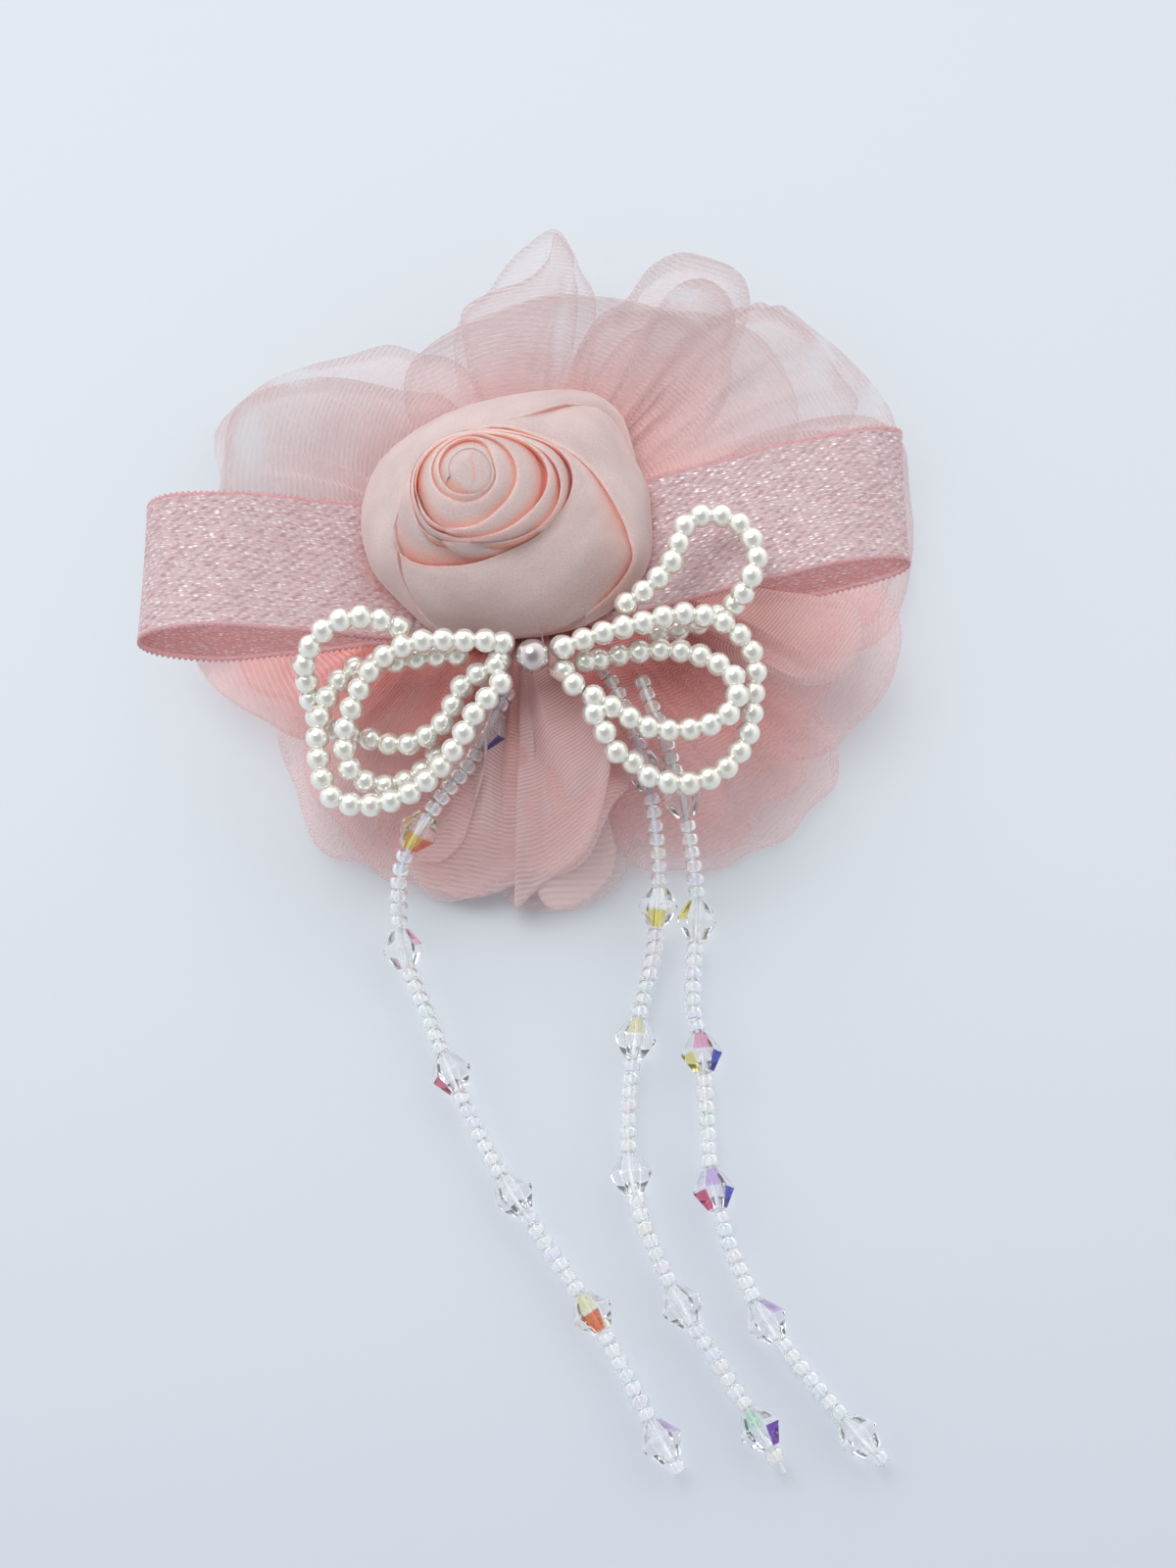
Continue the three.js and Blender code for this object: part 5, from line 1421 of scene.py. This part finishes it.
def wrinkles(place, phases):
    """Small uneven waves of the cloth over the places of a layer."""
    height = np.zeros(place.shape[:2])
    for i, phase in enumerate(phases):
        turn = WRINKLE_TURN * i + phase
        wave_number = 2 * math.pi / (WRINKLE_LENGTHS[0] + WRINKLE_LENGTHS[1] * i)
        along = place[..., 0] * math.cos(turn) + place[..., 1] * math.sin(turn)
        height += np.sin(wave_number * along + 3 * phase)
    return WRINKLE_HEIGHT * height


def petal_layer(root, centre, radius, strip, rise, phases, columns):
    """One layer of a strip from the gathers to its fold, and how sharply its pleats fold."""
    t = np.linspace(0, 1, PETAL_ROWS)[:, None]
    place = root[None, :, :2] + (centre - root)[None, :, :2] * t[..., None]
    reach = np.linalg.norm(centre[:, :2] - root[:, :2], axis=1)
    seat = np.clip((FELT_RADIUS - GATHER_RADIUS) / reach, 0, 0.5)[None]
    fall = np.clip((t - seat) / (1 - seat), 0, 1)
    start = root[None, :, 2]
    end = centre[None, :, 2] + rise * radius[None]
    height = start + (end - start) * fall ** strip["droop"]
    height = height + strip["swell"] * np.sin(math.pi * fall ** SWELL_LATENESS)
    height = height + rise * (LAYER_GAP[0] + LAYER_GAP[1] * np.sin(math.pi * t))
    spread = columns + PLEAT_SPREAD[0] * np.sin(2 * math.pi * PLEAT_SPREAD[1] * columns + phases[2])
    angle = 2 * math.pi * strip["pleats"] * spread[None] + phases[0]
    angle = angle + PLEAT_SWAY[0] * np.sin(PLEAT_SWAY[1] * t + phases[1])
    share = (angle / (2 * math.pi)) % 1
    envelope = (4 * t * (1 - t)) ** 0.8 * (1 - 0.4 * t)
    height = height + PLEAT_HEIGHT * envelope * pleat_shape(share)
    height = height + np.sin(math.pi * t) * wrinkles(place, phases)
    lapped = np.clip(share / PLEAT_LAP, 0, 1) ** CREASE_SHARPNESS * (share < PLEAT_LAP + CREASE_SPILL)
    crease = (1 - smooth_step((t - CREASE_FADE[0]) / CREASE_FADE[1])) * lapped
    return np.concatenate([place, height[..., None]], axis=-1), crease


def strip_grid(strip, rng):
    curve = Route(widened_rim(strip["points"], strip["overlap"]))
    columns = np.linspace(0, 1, PETAL_COLUMNS)
    edge = curve.at(columns * curve.length)
    phases = rng.uniform(0, 2 * math.pi, 11)
    bearings = rim_bearings(edge)
    root_bearings = np.linspace(bearings[0], bearings[-1], PETAL_COLUMNS)
    root = np.stack([
        HUB[0] + GATHER_RADIUS * np.cos(root_bearings), HUB[1] + GATHER_RADIUS * np.sin(root_bearings),
        np.full(PETAL_COLUMNS, FELT_TOP + GATHER_LIFT + strip["level"])], axis=-1)
    outward = unit((edge - root) * np.array([1, 1, 0]))
    wave = 2 * math.pi * strip["waves"] * columns
    radius = strip["fold"] * (1 + FOLD_WAVE[0] * np.sin(wave * FOLD_WAVE[1] + phases[8]))
    sway = sum(out * np.sin(wave * rate + phase) for (out, rate), phase in zip(RIM_SWAYS, phases[[9, 3]]))
    edge = edge + outward * sway[:, None]
    edge[:, 2] += WAVE_HEIGHT * (1 + np.sin(wave + phases[10]))
    centre = edge - outward * radius[:, None]
    centre[:, 2] = np.maximum(centre[:, 2], radius + 2 * TABLE_CLEARANCE)
    top, top_crease = petal_layer(root, centre, radius, strip, 1, phases[:4], columns)
    low, _ = petal_layer(root, centre, radius, strip, -1, phases[4:8], columns)
    turns = np.linspace(math.pi / 2, -math.pi / 2, FOLD_ROWS + 2)[1:-1, None, None]
    up = np.array([0, 0, 1.0])
    fold = centre[None] + radius[None, :, None] * (np.cos(turns) * outward[None] + np.sin(turns) * up)
    grid = np.concatenate([top, fold, low[::-1]])
    crease = np.concatenate([top_crease, np.zeros((FOLD_ROWS + PETAL_ROWS, PETAL_COLUMNS))])
    over_table = grid[..., 2] - TABLE_CLEARANCE
    settled = TABLE_SOFTNESS * np.exp(over_table / TABLE_SOFTNESS - 1)
    grid[..., 2] = TABLE_CLEARANCE + np.where(over_table > TABLE_SOFTNESS, over_table, settled)
    return grid, crease, curve.length


def steepness(grid):
    """How much more cloth a look from above passes through than on a level sheet, from 0 to 3."""
    normal = unit(np.cross(np.gradient(grid, axis=0), np.gradient(grid, axis=1)))
    return np.clip(1 / np.maximum(np.abs(normal[..., 2]), 0.25) - 1, 0, 3)


def sheer_share(grid, spots):
    """How near each point shows to one of the sheer spots, from 0 to 1."""
    pixels = pixel_at_point(grid)
    share = np.zeros(grid.shape[:2])
    for u, v, half_width, half_height in spots:
        distance = np.hypot((pixels[..., 0] - u) / half_width, (pixels[..., 1] - v) / half_height)
        share = np.maximum(share, 1 - smooth_step(distance - 0.5))
    return share


def distance_from_fold(grid):
    """Straight distances of the points of a strip from its fold, less than zero on the top layer."""
    fold = grid[PETAL_ROWS + FOLD_ROWS // 2]
    distance = np.linalg.norm((grid - fold[None])[..., :2], axis=-1)
    side = np.where(np.arange(len(grid)) < PETAL_ROWS + FOLD_ROWS // 2, -1, 1)
    return distance * side[:, None]


def strip_values(grid, crease, strip, shift):
    """Uv in millimetres along and across the ribs, and how the cloth covers and is coloured."""
    from_fold = distance_from_fold(grid)
    columns = np.linspace(0, 1, PETAL_COLUMNS)
    turn = math.radians(strip.get("rib", 0))
    offset = grid[..., :2] - HUB
    reach = np.linalg.norm(offset, axis=-1)
    round_hub = RIB_REACH * np.unwrap(np.arctan2(offset[..., 1], offset[..., 0]), axis=1)
    across = reach * math.cos(turn) + round_hub * math.sin(turn) + RIB_BEND * grid[..., 2] + shift
    along = round_hub * math.cos(turn) - reach * math.sin(turn)
    uv = np.stack([along, across * strip.get("fine", 1)], axis=-1)
    near, far = GATHER_REACH
    gathered = 1 - smooth_step((reach - near) / (far - near))
    fade = strip.get("fade", (SIDE_FADE, SIDE_FADE))
    ends = smooth_step(np.minimum(columns / fade[0], (1 - columns) / fade[1]))[None]
    band = np.interp(columns, [0, 1], strip["band"])[None] * ends
    rolled = np.exp(-(from_fold / BAND_WIDTH) ** 2)
    dense = strip.get("body", 0) + BAND_DENSITY * band * rolled + CREASE_DENSITY * crease
    dense = dense + GATHER_DENSITY * gathered + STEEP_DENSITY * steepness(grid)
    # Coral of the gathered cloth, and on the lower petals painted shade
    coral_and_shade_share = strip["deep"] + strip.get("gather", GATHER_CORAL) * gathered
    top = np.arange(len(grid)) < PETAL_ROWS + FOLD_ROWS
    values = {
        "dense": np.clip(dense, 0, 1),
        "deep": np.clip(coral_and_shade_share * (1 - ROLL_PALENESS * rolled), 0, 1),
        # Share of the lower petals' tones of painted light and shade, rising towards the front
        "low": smooth_step((HUB[1] + LOW_PAINTED_LIGHT_REACH / 3 - grid[..., 1]) / LOW_PAINTED_LIGHT_REACH),
        "ribbed": np.repeat(top[:, None], PETAL_COLUMNS, axis=1).astype(float),
        "cover": ends * (1 - SHEER_OPENNESS * sheer_share(grid, strip.get("sheer", [])))}
    return uv, values


def add_cloth(name, strips, material, rng):
    """One piece of cloth from the strips of a petal."""
    parts, rim_lengths, lengths = [], [], []
    for strip in strips:
        grid, crease, rim_length = strip_grid(strip, rng)
        uv, values = strip_values(grid, crease, strip, rng.uniform(0, 50))
        parts.append((grid, uv, values))
        rim_lengths.append(rim_length)
        lengths.append(line_lengths(grid, axis=0).mean())
    piece = add_grids(name, parts)
    dress(piece, material)
    flat = (max(rim_lengths), sum(lengths))
    area = sum(sheet_area(part[0]) for part in parts)
    return piece


def add_petal(node, spec, material, rng):
    """The petal's strips: most are too sheer to cast a shadow, and some stand out in front and cast one."""
    strips = petal_strips(spec)
    name = node.replace("petal", "organza")
    back = add_cloth(name, [strip for strip in strips if "shade" not in strip], material, rng)
    back.visible_shadow = False
    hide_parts(node)
    front = [strip for strip in strips if "shade" in strip]
    if front:
        add_cloth(f"{name}_front", front, material, rng)


def add_petals():
    material = organza_material()
    for order, (node, spec) in enumerate(PETALS.items()):
        add_petal(node, spec, material, np.random.default_rng(PETAL_DRAWS + order))


# Clip

def spring_line():
    """The wire's centre line: arm leg, coil on the pin, jaw leg."""
    coil_start = HINGE[1] - COIL_TURNS * COIL_PITCH / 2
    coil_end = HINGE[1] + COIL_TURNS * COIL_PITCH / 2
    arm_leg = np.array([HINGE[0] + LEG_REACH, coil_start, ARM_UNDERSIDE - LEG_GAP - WIRE / 2])
    jaw_leg = np.array([HINGE[0] + LEG_REACH, coil_end, JAW_LEG_HEIGHT])
    angles = math.pi / 2 + np.linspace(0, COIL_TURNS * 2 * math.pi, 120)
    coil = np.stack([
        HINGE[0] + COIL_RADIUS * np.cos(angles),
        coil_start + (angles - angles[0]) / (2 * math.pi) * COIL_PITCH,
        HINGE[2] + COIL_RADIUS * np.sin(angles)], axis=-1)
    bend = np.array([HINGE[0] + 2 * COIL_RADIUS, coil_start, HINGE[2] + 1.2 * COIL_RADIUS])
    first_leg = np.vstack([arm_leg + (bend - arm_leg) * t for t in np.linspace(0, 1, 8)])
    last_leg = np.vstack([coil[-1] + (jaw_leg - coil[-1]) * t for t in np.linspace(0.1, 1, 8)])
    return np.vstack([first_leg, coil, last_leg])


def add_spring():
    grid = tube_grid(spring_line(), WIRE / 2, 12)
    rows, sides = grid.shape[:2]
    faces = grid_faces(rows, sides, wrap_columns=True).tolist()
    faces.append(list(range(sides))[::-1])
    faces.append(list(range((rows - 1) * sides, rows * sides)))
    piece = add_mesh("spring", grid.reshape(-1, 3), faces)
    piece.data.materials.append(steel_material("spring_wire", WIRE_GREY))
    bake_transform(piece)
    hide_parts("torsion_spring")


def add_felt():
    """A cut felt disc with soft edges."""
    half = (FELT_TOP - FELT_BOTTOM) / 2
    edge_angles = np.linspace(-math.pi / 2, math.pi / 2, 9)
    shoulder = FELT_RADIUS - FELT_EDGE
    round_edge = [(shoulder + FELT_EDGE * math.cos(a), half * math.sin(a)) for a in edge_angles]
    inner = [(r, -half) for r in FELT_RINGS]
    profile = [*inner, *round_edge, *[(r, half) for r, _ in inner[::-1]]]
    points, faces = lathe(profile, 96)
    angles = np.arctan2(points[:, 1], points[:, 0])
    uneven = FELT_UNEVENNESS * np.sin(7 * angles) * np.cos(3 * angles)
    points[:, :2] *= (1 - FELT_UNEVENNESS + uneven)[:, None]
    points = points + np.array([HUB[0], HUB[1], FELT_BOTTOM + half])
    piece = dress(add_mesh("felt", points, faces), felt_material(), replaced=["felt_base"])


def finish_clip():
    steel = steel_material("clip_nickel", STEEL_GREY)
    for node in ("clip_arm", "clip_jaw", "hinge_pin"):
        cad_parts[node].data.materials.clear()
        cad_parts[node].data.materials.append(steel)


# Table and light

def add_table():
    side = TABLE_HALF_SIDE
    mesh = bpy.data.meshes.new("table")
    corners = [(-side, -side, 0), (side, -side, 0), (side, side, 0), (-side, side, 0)]
    mesh.from_pydata(corners, [], [(0, 1, 2, 3)])
    table = add_object("table", mesh)
    table.location.z = -TABLE_DROP
    shader = Shader("table_card", Roughness=0.8, Specular_IOR_Level=0.2)
    depth = shader.split(shader.object_place())[1]
    cloud = shader.times(shader.noise(shader.object_place(), 9.0, 2.0), 0.03)
    # Painted shade: the table darkens towards the front, with a faint random cloud
    share = shader.math("ADD", shader.span(depth, *TABLE_SHADE_SPAN), cloud, clamp=True)
    shader.set(Base_Color=shader.mix(share, linear(TABLE_FRONT_SHADED), linear(TABLE_BACK_LIT)))
    mesh.materials.append(shader.material)
    table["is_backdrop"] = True


def add_sky():
    """Soft light from all round, stronger from the back and weaker from overhead at the front."""
    world = bpy.data.worlds.new("sky")
    nodes = Nodes(world)
    way = nodes.node("ShaderNodeTexCoord").outputs["Generated"]
    strong, weak = SKY_STRENGTH * (1 + SKY_SLOPE), SKY_STRENGTH * (1 - SKY_SLOPE)
    shares = []
    for towards, *span in ((SKY_FRONT_WAY, -1, 1, strong, weak), (ROOM_WAY, *ROOM_SPAN, 1, ROOM_SHARE)):
        facing = nodes.node("ShaderNodeVectorMath", {0: way, 1: towards}, operation="DOT_PRODUCT")
        shares.append(nodes.span(facing.outputs["Value"], *span))
    background = nodes.tree.nodes["Background"].inputs
    nodes.feed(background["Strength"], nodes.times(*shares))
    nodes.feed(background["Color"], linear(SKY_COLOUR))
    bpy.context.scene.world = world


def add_light():
    data = bpy.data.lights.new("key", "AREA")
    data.shape = "DISK"
    data.size = KEY_SIZE
    data.energy = KEY_POWER
    key = add_object("key", data)
    key.location = KEY_PLACE
    forward = unit(KEY_TARGET - KEY_PLACE)
    key.rotation_mode = "QUATERNION"
    key.rotation_quaternion = Vector(forward).to_track_quat("-Z", "Y")


def set_view():
    scene = bpy.context.scene
    scene.view_settings.view_transform = "Standard"
    scene.cycles.transparent_max_bounces = SHEER_LAYERS


def save_sizes():
    boxes = {"cad": cad_box, "visual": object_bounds()}
    sizes = {name: [list(corner) for corner in box] for name, box in boxes.items()}


add_camera()
add_strands()
add_pearls()
add_bow()
add_rose()
add_petals()
add_spring()
add_felt()
finish_clip()
add_table()
add_sky()
add_light()
set_view()
save_sizes()
